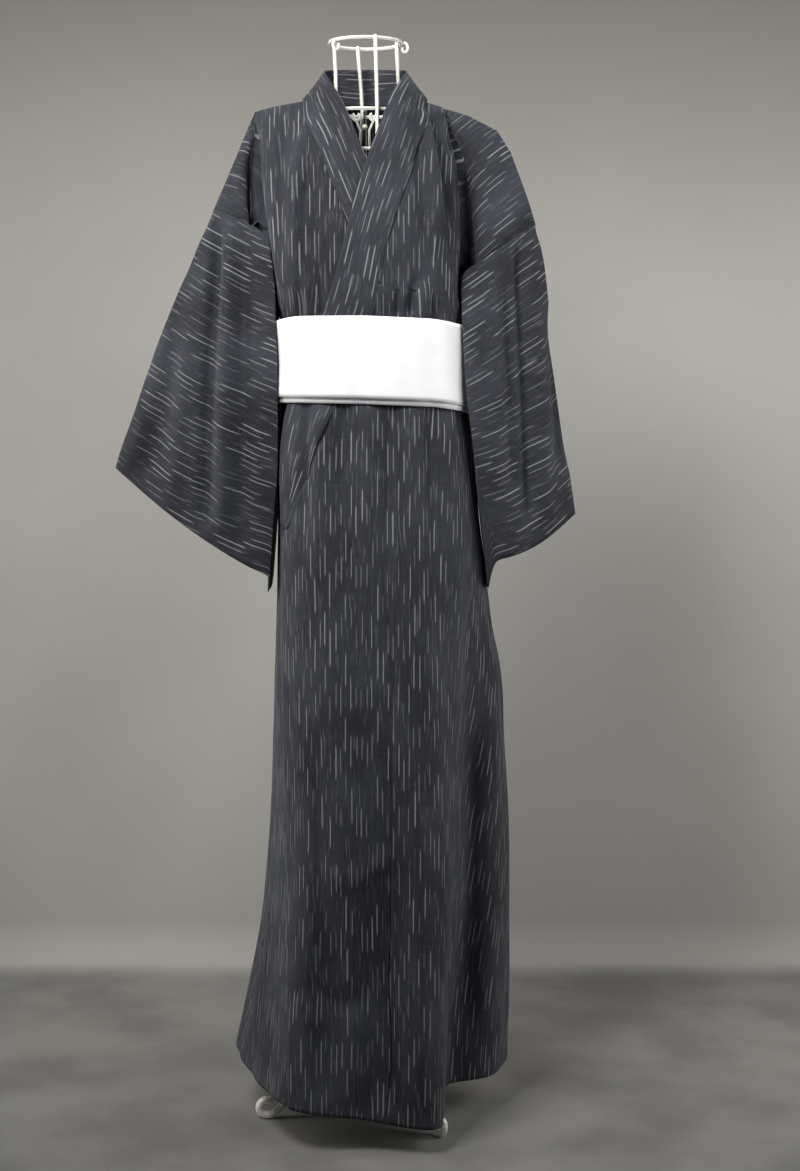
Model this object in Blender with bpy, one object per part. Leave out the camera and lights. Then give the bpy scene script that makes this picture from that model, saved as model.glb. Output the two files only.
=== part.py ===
"""A full-length cotton yukata, left front lapped over right, under a plain white obi, on a
white wire dress form with scroll feet.

Frame: metres, +Z up. The front of the robe faces -Y, the wearer's left side lies at +X, and
the feet stand on z = 0. "left" and "right" in names are the wearer's, as a maker uses them,
so the left front is at +X. Each cloth piece is one wall, WALL thick, made from a grid of
points: rows run down the warp and columns run across it.
"""

import math

import bmesh
import bpy
import numpy as np

# ------------------------------------------------------------------ driving dimensions
WALL = 0.002  # thickness of the cloth walls
GAP = 0.0003  # between pieces that meet
UNDER = 0.0068  # how far in the covered right-hand layers lie from the left-hand ones
SEAM_SHARE = 0.0012  # half the gap at a lengthwise seam, as a share of half the girth
HEIGHT_TOP = 1.582  # centre of the form's neck ring above the floor
SHOULDER_BASE = 1.22  # where the chest starts to round over to the shoulder
SHOULDER_FULL = 0.62  # under 1: the chest stays full up to the shoulder
WAIST = 1.05  # the row from which the skirt's folds open
CENTRE = (0.0291, 0.0150)  # moves the whole so that its bounding box stands over the origin

# Plan sizes of the robe by height: how far it reaches to each side, forward and back.
# columns: z, right side, left side, front, back
SECTIONS = (
    (1.300, 0.150, 0.146, 0.112, 0.096),
    (1.220, 0.140, 0.145, 0.109, 0.094),
    (1.194, 0.132, 0.142, 0.104, 0.091),
    (1.170, 0.122, 0.137, 0.098, 0.088),
    (1.060, 0.128, 0.146, 0.098, 0.090),
    (0.950, 0.131, 0.155, 0.116, 0.108),
    (0.850, 0.134, 0.168, 0.128, 0.120),
    (0.780, 0.137, 0.182, 0.136, 0.126),
    (0.660, 0.141, 0.203, 0.146, 0.134),
    (0.540, 0.144, 0.209, 0.155, 0.140),
    (0.420, 0.150, 0.216, 0.164, 0.144),
    (0.290, 0.163, 0.217, 0.173, 0.148),
    (0.160, 0.188, 0.215, 0.181, 0.152),
    (0.100, 0.203, 0.213, 0.184, 0.154),
    (0.030, 0.207, 0.212, 0.186, 0.155),
)

# The hem in plan, in shares of the section's reach, and the height of its edge there.
# columns: name, across, forward, edge height
HEM_STATIONS = (
    ("centre_back", 0.00, -1.00, 0.075),
    ("left_back", 0.70, -0.86, 0.072),
    ("left_side", 1.00, -0.38, 0.068),
    ("left_fore", 0.90, 0.08, 0.060),
    ("pleat_valley", 0.57, 0.22, 0.053),
    ("pleat_ridge", 0.49, 1.00, 0.038),
    ("front_mid", 0.02, 0.99, 0.051),
    ("front_corner", -0.52, 0.98, 0.066),
    ("right_fore", -0.80, 0.46, 0.070),
    ("right_side", -1.00, -0.16, 0.100),
    ("right_back", -0.74, -0.80, 0.090),
)
FRONT_STATION = 6  # the row of HEM_STATIONS that lies at the middle of the front

# How the skirt passes from the waist's oval to the hem's plan, by height.
# columns: z, share
OPENING = ((1.05, 0.0), (0.90, 0.10), (0.70, 0.36), (0.45, 0.72), (0.20, 0.95), (0.03, 1.0))

# The shoulder line from the neck outward, then the fold down the top of each sleeve.
# columns: x, z
RIGHT_RIDGE = ((0.0, 1.498), (-0.085, 1.499), (-0.125, 1.492), (-0.161, 1.484))
LEFT_RIDGE = ((0.0, 1.498), (0.085, 1.497), (0.100, 1.494), (0.116, 1.489))
RIGHT_FOLD = ((-0.161, 1.484), (-0.207, 1.376), (-0.244, 1.303), (-0.306, 1.164), (-0.376, 0.979))
LEFT_FOLD = (
    (0.116, 1.489),
    (0.177, 1.469),
    (0.199, 1.452),
    (0.217, 1.412),
    (0.245, 1.339),
    (0.259, 1.273),
    (0.276, 1.172),
    (0.288, 1.093),
    (0.298, 1.010),
    (0.312, 0.908),
)
RIGHT_ARMHOLE = 0.150  # along the fold, from its first point to the armhole seam
LEFT_ARMHOLE = 0.230

# A sleeve's inner side by share of its length: where its front turns in (turn), and the
# side that faces the robe (side). "fore" and "aft" are half depths at the turn.
# columns: share, turn x, turn z, side x, side z, fore, aft
RIGHT_SLEEVE = (
    (0.00, -0.158, 1.318, -0.161, 1.312, 0.034, 0.034),
    (0.25, -0.141, 1.232, -0.147, 1.220, 0.043, 0.042),
    (0.50, -0.133, 1.120, -0.143, 1.105, 0.056, 0.052),
    (0.75, -0.132, 0.985, -0.141, 0.970, 0.060, 0.056),
    (1.00, -0.142, 0.812, -0.146, 0.790, 0.052, 0.052),
)
LEFT_SLEEVE = (
    (0.00, 0.153, 1.262, 0.157, 1.256, 0.036, 0.034),
    (0.25, 0.152, 1.180, 0.161, 1.168, 0.050, 0.040),
    (0.50, 0.159, 1.085, 0.162, 1.066, 0.060, 0.046),
    (0.75, 0.184, 0.975, 0.167, 0.935, 0.062, 0.050),
    (1.00, 0.206, 0.838, 0.182, 0.796, 0.054, 0.052),
)

WIRE = 0.0027  # radius of the form's wires
FORM_TURN = math.radians(15)  # the form stands turned a little toward +X under the robe
# columns: name, z, half width, half depth, middle y
RINGS = (
    ("form_neck_ring", HEIGHT_TOP, 0.052, 0.052, 0.0),
    ("form_neck_base_ring", 1.481, 0.060, 0.045, -0.018),
    ("form_chest_ring", 1.425, 0.098, 0.056, -0.008),
    ("form_bust_ring", 1.285, 0.108, 0.074, 0.0),
    ("form_waist_ring", 1.110, 0.092, 0.062, 0.0),
    ("form_hip_ring", 0.860, 0.106, 0.082, 0.0),
)
HUB_Z, HUB_RADIUS, HUB_HEIGHT = 0.700, 0.026, 0.030
POLE_RADIUS, POLE_FOOT = 0.010, 0.235
FOOT_ROD = 0.0058
FOOT_DIRECTIONS = {"front": 44.0, "right": -77.0, "back": 164.0}
SCROLL_AT, SCROLL_RADIUS = 0.150, 0.0125

COLOURS = {
    "cotton": (0.052, 0.056, 0.064),
    "obi": (0.86, 0.86, 0.87),
    "wire": (0.86, 0.85, 0.80),
}


# ------------------------------------------------------------------ small helpers
def between(table, key, column=1):
    """A table's column read smoothly at a key; the first column may rise or fall."""
    rows = sorted(table)
    keys = [row[0] for row in rows]
    values = [row[column] for row in rows]
    return float(np.interp(key, keys, values))


def eased(share):
    share = np.clip(share, 0.0, 1.0)
    return share * share * (3.0 - 2.0 * share)


def resampled(points, count):
    """count points evenly spaced along a polyline."""
    points = np.asarray(points, float)
    steps = np.linalg.norm(np.diff(points, axis=0), axis=1)
    along = np.concatenate([[0.0], np.cumsum(steps)])
    wanted = np.linspace(0.0, along[-1], count)
    return np.stack([np.interp(wanted, along, points[:, i]) for i in range(points.shape[1])], axis=1)


def smooth_line(points, count, closed=False):
    """A Catmull-Rom curve through the points, as count evenly spaced points."""
    p = np.asarray(points, float)
    if closed:
        p = np.vstack([p[-1], p, p[0], p[1]])
    else:
        p = np.vstack([2 * p[0] - p[1], p, 2 * p[-1] - p[-2]])
    made = []
    for i in range(1, len(p) - 2):
        for t in np.linspace(0.0, 1.0, 12, endpoint=False):
            a, b, c, d = p[i - 1], p[i], p[i + 1], p[i + 2]
            made.append(
                0.5 * (2 * b + (c - a) * t + (2 * a - 5 * b + 4 * c - d) * t**2
                       + (3 * b - a - 3 * c + d) * t**3)
            )
    made.append(p[-2])
    return resampled(made, count)


def material(kind):
    made = bpy.data.materials.get(kind)
    if made is None:
        made = bpy.data.materials.new(kind)
        made.use_nodes = True
        shader = made.node_tree.nodes["Principled BSDF"]
        shader.inputs["Base Color"].default_value = (*COLOURS[kind], 1.0)
        shader.inputs["Roughness"].default_value = 0.35 if kind == "wire" else 0.9
        shader.inputs["Metallic"].default_value = 0.0
    return made


def add_object(name, points, faces, kind):
    mesh = bpy.data.meshes.new(name)
    shift = np.array([CENTRE[0], CENTRE[1], 0.0])
    mesh.from_pydata([tuple(np.asarray(p) + shift) for p in points], [], faces)
    made = bmesh.new()
    made.from_mesh(mesh)
    bmesh.ops.triangulate(made, faces=made.faces[:])
    bmesh.ops.recalc_face_normals(made, faces=made.faces[:])
    if made.calc_volume(signed=True) < 0:
        bmesh.ops.reverse_faces(made, faces=made.faces[:])
    made.to_mesh(mesh)
    made.free()
    mesh.materials.append(material(kind))
    mesh.shade_smooth()
    mesh.set_sharp_from_angle(angle=math.radians(40))
    made = bpy.data.objects.new(name, mesh)
    bpy.context.scene.collection.objects.link(made)
    return made


def grid_normals(grid, closed):
    """A unit normal at each point of a grid of rows and columns."""
    if closed:
        across = np.roll(grid, -1, axis=1) - np.roll(grid, 1, axis=1)
    else:
        across = np.gradient(grid, axis=1)
    along = np.gradient(grid, axis=0)
    normal = np.cross(along, across)
    length = np.linalg.norm(normal, axis=2, keepdims=True)
    return normal / np.maximum(length, 1e-9)


def wall(name, grid, kind, closed=False):
    """A cloth wall: the grid is its outer side, and its inner side lies a thickness in,
    towards the middle of each row on a sleeve and towards the form's axis elsewhere."""
    grid = np.asarray(grid, float)
    rows, columns = grid.shape[:2]
    normals = grid_normals(grid, closed)
    middle = grid.mean(axis=1, keepdims=True) if closed else grid * np.array([0.0, 0.0, 1.0])
    if (normals * (grid - middle)).sum() < 0:
        normals = -normals
    inner = grid - WALL * normals
    points = np.concatenate([grid.reshape(-1, 3), inner.reshape(-1, 3)])
    back = rows * columns

    def at(i, j, side):
        return side * back + i * columns + (j % columns)

    faces = []
    last = columns if closed else columns - 1
    for i in range(rows - 1):
        for j in range(last):
            faces.append((at(i, j, 0), at(i, j + 1, 0), at(i + 1, j + 1, 0), at(i + 1, j, 0)))
            faces.append((at(i, j, 1), at(i + 1, j, 1), at(i + 1, j + 1, 1), at(i, j + 1, 1)))
    for j in range(last):
        faces.append((at(0, j, 0), at(0, j, 1), at(0, j + 1, 1), at(0, j + 1, 0)))
        faces.append((at(rows - 1, j, 0), at(rows - 1, j + 1, 0),
                      at(rows - 1, j + 1, 1), at(rows - 1, j, 1)))
    if not closed:
        for i in range(rows - 1):
            faces.append((at(i, 0, 0), at(i + 1, 0, 0), at(i + 1, 0, 1), at(i, 0, 1)))
            faces.append((at(i, columns - 1, 0), at(i, columns - 1, 1),
                          at(i + 1, columns - 1, 1), at(i + 1, columns - 1, 0)))
    return add_object(name, points, faces, kind)


# ------------------------------------------------------------------ the robe's plan by height
def reach(z):
    """The section's four reaches at a height: right side, left side, front, back."""
    return [between(SECTIONS, z, column) for column in range(1, 5)]


def oval(z, count=241):
    """The rounded section at a height, from the centre back round by the left side (+X)."""
    right, left, front, back = reach(z)
    made = []
    for angle in np.linspace(0.0, 2 * math.pi, count):
        across, along = math.sin(angle), math.cos(angle)
        power = 2.0 / 2.5
        x = math.copysign(abs(across) ** power, across) * (left if across > 0 else right)
        y = math.copysign(abs(along) ** power, along) * (back if along > 0 else front)
        made.append((x, y))
    return np.array(made)


def hem_plan(z, count=241):
    """The opened section at a height, through the hem's stations."""
    right, left, front, back = reach(z)
    points = []
    for _, across, forward, _ in HEM_STATIONS:
        x = across * (left if across > 0 else right)
        y = -forward * (front if forward > 0 else back)
        points.append((x, y))
    return smooth_line(points, count, closed=True)


def halves(line):
    """Splits a closed line at the front's middle: from the centre back to it, both ways."""
    front = line[:, 1] < 0
    index = int(np.argmin(np.where(front, np.abs(line[:, 0] - 0.0), 9.0)))
    return line[: index + 1], line[index:][::-1]


def ring(z, cache={}):
    """Both half sections at a height as 121 even points: by the left side, by the right."""
    key = round(z, 4)
    if key not in cache:
        share = between(OPENING, z)
        made = []
        for oval_half, hem_half in zip(halves(oval(z)), halves(hem_plan(z)), strict=True):
            made.append((1 - share) * resampled(oval_half, 121) + share * resampled(hem_half, 121))
        cache[key] = made
    return cache[key]


def on_ring(z, a):
    """The point at share a of the way from the centre back (0) round to the front's middle:
    a > 0 goes by the left side and may pass 1 onto the right, a < 0 the other way."""
    left_half, right_half = ring(z)
    if a > 1.0:
        half, a = right_half, 2.0 - a
    elif a < -1.0:
        half, a = left_half, 2.0 + a
    else:
        half = left_half if a >= 0 else right_half
    at = abs(a) * 120.0
    i = min(int(at), 119)
    return half[i] + (at - i) * (half[i + 1] - half[i])


def share_at(z, x, side):
    """The share a at which the front of the section has a given x, for a panel that comes
    round from one side (+1 by the left, -1 by the right)."""
    shares = np.linspace(0.55, 1.45, 181)
    xs = np.array([on_ring(z, side * a)[0] for a in shares])
    order = np.argsort(-side * xs)
    return float(np.interp(-side * x, (-side * xs)[order], shares[order]))


def hem_height(a):
    """The hem's height at share a, read from the stations round the hem."""
    heights = [row[3] for row in HEM_STATIONS]
    line = hem_plan(0.05)
    right, left, front, back = reach(0.05)
    spots = []
    for _, across, forward, _ in HEM_STATIONS:
        spots.append((across * (left if across > 0 else right), -forward * (front if forward > 0 else back)))
    at = [int(np.argmin(np.linalg.norm(line - np.array(p), axis=1))) for p in spots]
    at[0] = 0
    at.append(len(line) - 1)
    heights = heights + [heights[0]]
    middle = at[FRONT_STATION]
    wrapped = (a + 2.0) % 2.0
    if wrapped <= 1.0:
        index = wrapped * middle
    else:
        index = middle + (wrapped - 1.0) * (len(line) - 1 - middle)
    return float(np.interp(index, at, heights))


# ------------------------------------------------------------------ panels above the waist
ARM_SIDE = {
    -1: ((1.22, 0.140), (1.30, 0.152), (1.36, 0.160), (1.43, 0.163), (1.484, 0.161)),
    1: ((1.22, 0.145), (1.30, 0.149), (1.36, 0.147), (1.42, 0.141), (1.46, 0.122), (1.489, 0.116)),
}
RIDGE = {-1: RIGHT_RIDGE, 1: LEFT_RIDGE}
FOLD = {-1: RIGHT_FOLD, 1: LEFT_FOLD}
ARMHOLE = {-1: RIGHT_ARMHOLE, 1: LEFT_ARMHOLE}
SLEEVE = {-1: RIGHT_SLEEVE, 1: LEFT_SLEEVE}
# The seam of each front panel with its okumi, in x by z, below the chest.
OKUMI_SEAM = {
    -1: ((1.22, -0.022), (1.05, -0.062), (0.60, -0.078), (0.03, -0.075)),
    1: ((1.22, 0.042), (1.17, 0.047), (1.05, 0.052), (0.60, 0.040), (0.03, 0.030)),
}
# The free front edge of each okumi below the collar's end, in x by z.
FRONT_EDGE = {
    -1: ((1.11, 0.052), (0.90, 0.085), (0.03, 0.060)),
    1: ((0.870, -0.1205), (0.737, -0.1210), (0.456, -0.1170), (0.165, -0.1130), (0.03, -0.1100)),
}
# The collar on each front: the seam that joins it to the robe, and its free edge.
# columns: seam x, seam z, free x, free z
COLLAR_LEFT = (
    (0.0868, 1.492, 0.050, 1.521),
    (0.0850, 1.465, 0.037, 1.497),
    (0.0755, 1.420, 0.018, 1.448),
    (0.0545, 1.360, 0.000, 1.398),
    (0.0320, 1.290, -0.021, 1.325),
    (0.0140, 1.195, -0.046, 1.228),
    (-0.0150, 1.120, -0.072, 1.155),
    (-0.0440, 1.056, -0.104, 1.085),
    (-0.0750, 0.980, -0.121, 1.000),
    (-0.1110, 0.885, -0.1215, 0.892),
)
COLLAR_RIGHT = (
    (-0.0868, 1.492, -0.050, 1.522),
    (-0.0850, 1.465, -0.037, 1.500),
    (-0.0720, 1.440, -0.022, 1.470),
    (-0.0540, 1.395, -0.002, 1.420),
    (-0.0360, 1.350, 0.017, 1.375),
    (-0.0100, 1.290, 0.040, 1.315),
    (0.0240, 1.200, 0.078, 1.225),
    (0.0540, 1.115, 0.104, 1.135),
)
# Round the neck, from the centre back to the side: the band's seam and its free edge.
# columns: seam x, seam y, seam z, free x, free y, free z
COLLAR_NECK = (
    (0.000, 0.0370, 1.4945, 0.000, 0.058, 1.553),
    (0.045, 0.0270, 1.4985, 0.036, 0.050, 1.552),
    (0.072, 0.0140, 1.5005, 0.053, 0.024, 1.547),
    (0.0878, -0.0060, 1.5008, 0.058, -0.012, 1.539),
)
COLLAR_LEG = {-1: COLLAR_RIGHT, 1: COLLAR_LEFT}
SIDE_SHARE = {-1: ((0.03, 0.50), (1.22, 0.50)), 1: ((0.03, 0.40), (1.05, 0.46), (1.22, 0.50))}
NECK_HALF = 0.0875
NECK_LOW = math.radians(78)  # the row at which the back neckline is lowest
OKUMI_TOP = 1.232
COLLAR_STAND = 0.048
COLLAR_STEPS = 60
COLLAR_ACROSS = (0.0, 1 / 3, 2 / 3, 1.0)
CAP_COLUMNS = 3
SHOULDER_ROWS = 6
CHEST_ROWS = 4
SKIRT_ROWS = 11


def collar_seam(side, z, cache={}):
    """The x at which a front panel meets the collar at a height."""
    if side not in cache:
        line = [(row[1], row[0]) for row in COLLAR_LEG[side]]
        line.insert(0, (1.504, side * 0.0875))
        cache[side] = [tuple(p) for p in smooth_line(line, 60)]
    return between(cache[side], z) + side * 0.0019


def front_inner(side, z):
    """The x of a front panel's inner edge: the collar's seam, or below the chest the okumi's."""
    return collar_seam(side, z) if z > SHOULDER_BASE + 1e-6 else between(OKUMI_SEAM[side], z)


def okumi_inner(side, z):
    """The x of an okumi's outer edge: the collar's seam, or its free edge below the collar."""
    if side > 0:
        ends = 0.885
        if z < ends:
            return between(((ends, collar_seam(1, ends)), *FRONT_EDGE[1]), z)
        return collar_seam(1, z)
    return collar_seam(-1, z) if z > 1.12 else between(FRONT_EDGE[-1], z)


def ridge_height(side, x):
    return between([(abs(a), b) for a, b in RIDGE[side]], abs(x))


def chest_depth(side, x, z, front=True, stand=0.0):
    """How far the robe's front or back lies from the middle, at x and z above the chest.
    stand raises the shoulder line, for the collar's free edge, which stands off the neck."""
    _, _, fore, aft = reach(SHOULDER_BASE)
    tip = RIDGE[side][-1][1]
    rise = (z - SHOULDER_BASE) / (ridge_height(side, x) + stand - SHOULDER_BASE)
    rise = min(max(rise, 0.0), 1.0)
    half = between(ARM_SIDE[side], SHOULDER_BASE + (tip - SHOULDER_BASE) * rise)
    share = min(abs(x) / half, 1.0)
    fullness = (1 - rise * rise) ** (SHOULDER_FULL / 2) * (1.0 - share**2.5) ** 0.4
    return (-fore if front else aft) * fullness


def covered(side, x):
    """How far in a right-hand front lies at x: full where the left-hand front covers it."""
    return UNDER * float(eased((0.137 - abs(x)) / 0.045)) if side < 0 else 0.0


def shoulder_row(side, psi, front, spread):
    """A row of a body panel above the chest: across the robe, then out over the shoulder."""
    tip = RIDGE[side][-1]
    half = between(ARM_SIDE[side], SHOULDER_BASE + (tip[1] - SHOULDER_BASE) * math.sin(psi))
    if front:
        x_in = front_inner(side, SHOULDER_BASE + (1.497 - SHOULDER_BASE) * math.sin(psi))
    else:
        x_in = side * NECK_HALF * eased((psi - NECK_LOW) / (math.pi / 2 - NECK_LOW))
        x_in = side * max(abs(x_in), GAP)
    made = []
    for x in np.linspace(x_in, side * half * 0.996, 40):
        z = SHOULDER_BASE + (ridge_height(side, x) - SHOULDER_BASE) * math.sin(psi)
        y = chest_depth(side, x, z, front)
        if front:
            y += covered(side, x) * max(math.cos(psi), 0.0) ** 0.3
        made.append((x, y, z))
    made = np.array(made)
    steps = np.linalg.norm(np.diff(made, axis=0), axis=1)
    along = np.concatenate([[0.0], np.cumsum(steps)])
    wanted = np.array(spread) * along[-1]
    return np.stack([np.interp(wanted, along, made[:, i]) for i in range(3)], axis=1)


def fold_point(side, along):
    """A point of the shoulder and sleeve fold, a distance along it."""
    line = np.array(FOLD[side], float)
    steps = np.linalg.norm(np.diff(line, axis=0), axis=1)
    at = np.concatenate([[0.0], np.cumsum(steps)])
    return np.array([np.interp(along, at, line[:, 0]), np.interp(along, at, line[:, 1])])


def fold_length(side):
    line = np.array(FOLD[side], float)
    return float(np.linalg.norm(np.diff(line, axis=0), axis=1).sum())


def sleeve_row(side, share):
    return [between(SLEEVE[side], share, column) for column in range(1, 7)]


def sleeve_side(side, share, e, front):
    """A point of the sleeve's front or back wall: e is 0 at the top fold and 1 at the turn."""
    turn_x, turn_z, _, _, fore, aft = sleeve_row(side, share)
    start = ARMHOLE[side]
    x0, z0 = fold_point(side, start + (fold_length(side) - start) * share)
    sag = -0.012 * share * math.sin(math.pi * e)
    bulge = math.sin(math.pi / 2 * e) ** 0.75
    y = -fore * bulge if front else aft * bulge
    return np.array([x0 + (turn_x - x0) * e, y, z0 + (turn_z - z0) * e + sag])


def armhole_psi(side):
    """The row of the shoulder that comes down to the foot of the armhole seam."""
    tip = RIDGE[side][-1][1]
    turn_z = sleeve_row(side, 0.0)[1]
    return math.asin((turn_z - SHOULDER_BASE) / (tip - SHOULDER_BASE))


def cap_row(side, psi, front, last, before):
    """The columns past the shoulder's valley, out to the armhole seam; below the armhole
    they only carry the panel on round the side."""
    low = armhole_psi(side)
    if psi <= low:
        step = (last - before) / max(np.linalg.norm(last - before), 1e-9) * 0.0012
        return [last + step * (i + 1) for i in range(CAP_COLUMNS)]
    down = (math.pi / 2 - psi) / (math.pi / 2 - low)
    seam = sleeve_side(side, 0.0, 0.04 + 0.96 * down, front)
    outward = fold_point(side, ARMHOLE[side]) - fold_point(side, ARMHOLE[side] - 0.01)
    seam = seam - np.array([outward[0], 0.0, outward[1]]) * (0.0020 / 0.01)
    if down < 1e-6:
        end = fold_point(side, ARMHOLE[side] - 0.0020)
        seam = np.array([end[0], 0.0, end[1]])
    made = []
    start = fold_point(side, 0.0)
    stop = fold_point(side, ARMHOLE[side] - 0.0020)
    for i in range(1, CAP_COLUMNS + 1):
        c = i / CAP_COLUMNS
        p = last + (seam - last) * c
        bow = fold_point(side, (ARMHOLE[side] - 0.0020) * c) - (start + (stop - start) * c)
        p = p + (1.0 - down) * np.array([bow[0], 0.0, bow[1]])
        made.append(p)
    return made


def station_shares():
    """The share a of each hem station on its own half, as the ring() halves measure it."""
    left_half, right_half = ring(0.03)
    found = []
    for _, across, forward, _ in HEM_STATIONS:
        right, left, front, back = reach(0.03)
        x = across * (left if across > 0 else right)
        spot = np.array([x, -forward * (front if forward > 0 else back)])
        half = left_half if across >= 0 else right_half
        found.append(int(np.argmin(np.linalg.norm(half - spot, axis=1))) / 120.0)
    return found


def front_shares(side, z):
    """The columns of a front panel, as shares from its side seam to its okumi seam."""
    side_share = between(SIDE_SHARE[side], z) + SEAM_SHARE
    seam = share_at(z, front_inner(side, z), side)
    if side > 0:
        marks = station_shares()
        valley, ridge = marks[4], marks[5]
        shares = [side_share, (side_share + valley) / 2, valley - 0.012, valley + 0.03]
        shares += [valley + (ridge - valley) * t for t in (0.45, 0.75, 0.93)]
        shares += [ridge + 0.012, (ridge + 0.012 + seam) / 2, seam - SEAM_SHARE]
        return shares[::-1]
    return list(np.linspace(side_share, seam - SEAM_SHARE, 12))[::-1]


def back_shares(side, z):
    side_share = between(SIDE_SHARE[side], z) - SEAM_SHARE
    return list(np.linspace(0.0006, side_share, 10 if side > 0 else 12))


def level_row(side, shares, z, out):
    made = []
    for a in shares:
        made.append((*offset_plan(z, side * a, out(side * a)), z))
    return np.array(made)


def offset_plan(z, a, out):
    p = on_ring(z, a)
    along = on_ring(z, a + 0.006) - on_ring(z, a - 0.006)
    outward = np.array([-along[1], along[0]]) / max(np.linalg.norm(along), 1e-9)
    return p + out * outward


def right_lift(a):
    """The right panels lie one layer in where the left ones cover them."""
    return -UNDER * eased((abs(a) - 0.36) / 0.16)


def no_lift(_):
    return 0.0


def lip(row):
    """A level row carried on a little past its side edge, to match the shoulder's columns."""
    step = (row[-1] - row[-2]) / max(np.linalg.norm(row[-1] - row[-2]), 1e-9) * 0.0012
    return np.vstack([row[:-1], row[-1] - 3 * step, row[-1] - 2 * step, row[-1] - step, row[-1]])


def spread_of(row):
    steps = np.linalg.norm(np.diff(row, axis=0), axis=1)
    along = np.concatenate([[0.0], np.cumsum(steps)])
    return along / along[-1]


def body_panel(name, side):
    """One body panel, cut in one length from the front hem over the shoulder to the back hem."""
    out = right_lift if side < 0 else no_lift
    foot = armhole_psi(side)
    psis = [foot * 0.35, foot * 0.70, foot - 0.02]
    psis += list(np.linspace(foot + 1e-4, NECK_LOW, SHOULDER_ROWS))
    psis += [(NECK_LOW + math.pi / 2) / 2, math.pi / 2]
    halves_made = []
    for front in (True, False):
        shares_of = front_shares if front else back_shares
        rows = []
        for drop in np.linspace(1.0, 0.0, SKIRT_ROWS):
            row = []
            for a in shares_of(side, WAIST + (0.05 - WAIST) * drop):
                z = WAIST + (hem_height(side * a) - WAIST) * drop
                row.append((*offset_plan(z, side * a, out(side * a)), z))
            rows.append(lip(np.array(row)))
        for z in np.linspace(WAIST, SHOULDER_BASE, CHEST_ROWS)[1:]:
            rows.append(lip(level_row(side, shares_of(side, z), z, out)))
        spread = spread_of(level_row(side, shares_of(side, SHOULDER_BASE), SHOULDER_BASE, out))
        for psi in psis:
            row = shoulder_row(side, psi, front, spread)
            rows.append(np.vstack([row, cap_row(side, psi, front, row[-1], row[-2])]))
        halves_made.append(rows)
    front_rows, back_rows = halves_made
    grid = front_rows + back_rows[::-1][1:]
    return wall(name, np.array(grid), "cotton")


def okumi_panel(name, side):
    """The narrow panel between a front and its collar, from its point on the chest to the hem."""
    lift = no_lift if side > 0 else (lambda _: -UNDER)
    rows = []

    def shares(z):
        seam = share_at(z, front_inner(side, z), side) + SEAM_SHARE
        edge = share_at(z, okumi_inner(side, z), side)
        steps = 1.0 - (1.0 - np.linspace(0.0, 1.0, 8)) ** 1.5
        return seam + steps * max(edge - seam, 0.004)

    rows.append(okumi_tip(side, lift))
    for z in np.linspace(SHOULDER_BASE, WAIST, CHEST_ROWS)[:-1]:
        rows.append(panel_row(side, shares(z), z, lift))
    for drop in np.linspace(0.0, 1.0, SKIRT_ROWS):
        row = []
        for a in shares(WAIST + (0.05 - WAIST) * drop):
            z = WAIST + (hem_height(side * a) - WAIST) * drop
            row.append((*offset_plan(z, side * a, lift(a)), z))
        rows.append(np.array(row))
    return wall(name, np.array(rows), "cotton")


def okumi_tip(side, lift):
    """The narrow top of an okumi, between the collar's seam and the front panel."""
    next_z = SHOULDER_BASE + (1.497 - SHOULDER_BASE) * math.sin(armhole_psi(side) * 0.35)
    share = (OKUMI_TOP - SHOULDER_BASE) / (next_z - SHOULDER_BASE)
    seam = between(OKUMI_SEAM[side], SHOULDER_BASE)
    seam += (front_inner(side, next_z) - seam) * share - side * 0.0012
    made = []
    for x in np.linspace(seam, okumi_inner(side, OKUMI_TOP), 8):
        made.append((x, chest_depth(side, x, OKUMI_TOP) - lift(1.0), OKUMI_TOP))
    return np.array(made)


def panel_row(side, shares, z, lift):
    """A level row of an okumi."""
    made = []
    for a in shares:
        made.append((*offset_plan(z, side * a, lift(a)), z))
    return np.array(made)


# ------------------------------------------------------------------ collar, sleeves, obi
def front_spot(x, z, lift, side, stand=0.0):
    """A point of the collar on a front, out by a lift."""
    if z > SHOULDER_BASE:
        inward = lift * max(1.0 - ((z - SHOULDER_BASE) / (1.52 - SHOULDER_BASE)) ** 6, 0.0)
        return (x, chest_depth(side, x, z, True, stand) - inward, z)
    a = share_at(z, x, side)
    px, py = offset_plan(z, side * a, lift)
    return (px, py, z)


def collar_rows(table, side, lift):
    """The collar's cross lines on one front, each as points from the seam to the free edge."""
    rows = []
    for seam_x, seam_z, free_x, free_z in table:
        stand = COLLAR_STAND * float(eased((free_z - 1.37) / 0.09))
        row = []
        for share in COLLAR_ACROSS:
            x = seam_x + (free_x - seam_x) * share
            z = seam_z + (free_z - seam_z) * share
            row.append(front_spot(x, z, lift, side, stand * share))
        rows.append(np.array(row))
    return rows


def neck_rows():
    """The collar's cross lines round the back of the neck, from the right side to the left."""
    rows = []
    for row in COLLAR_NECK:
        seam, free = np.array(row[:3]), np.array(row[3:])
        rows.append(np.array([seam + (free - seam) * share for share in COLLAR_ACROSS]))
    flip = np.array([-1.0, 1.0, 1.0])
    return [row * flip for row in rows[1:]][::-1] + rows


def collar_band():
    """The collar: one band from the right front's end, round the neck, to the left's."""
    right = collar_rows(COLLAR_RIGHT, -1, -UNDER)
    left = collar_rows(COLLAR_LEFT, 1, 0.0)
    lines = np.array(right[::-1] + neck_rows() + left)
    smooth = smooth_line(lines.reshape(len(lines), -1), COLLAR_STEPS)
    return wall("collar", smooth.reshape(COLLAR_STEPS, len(COLLAR_ACROSS), 3), "cotton")


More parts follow.
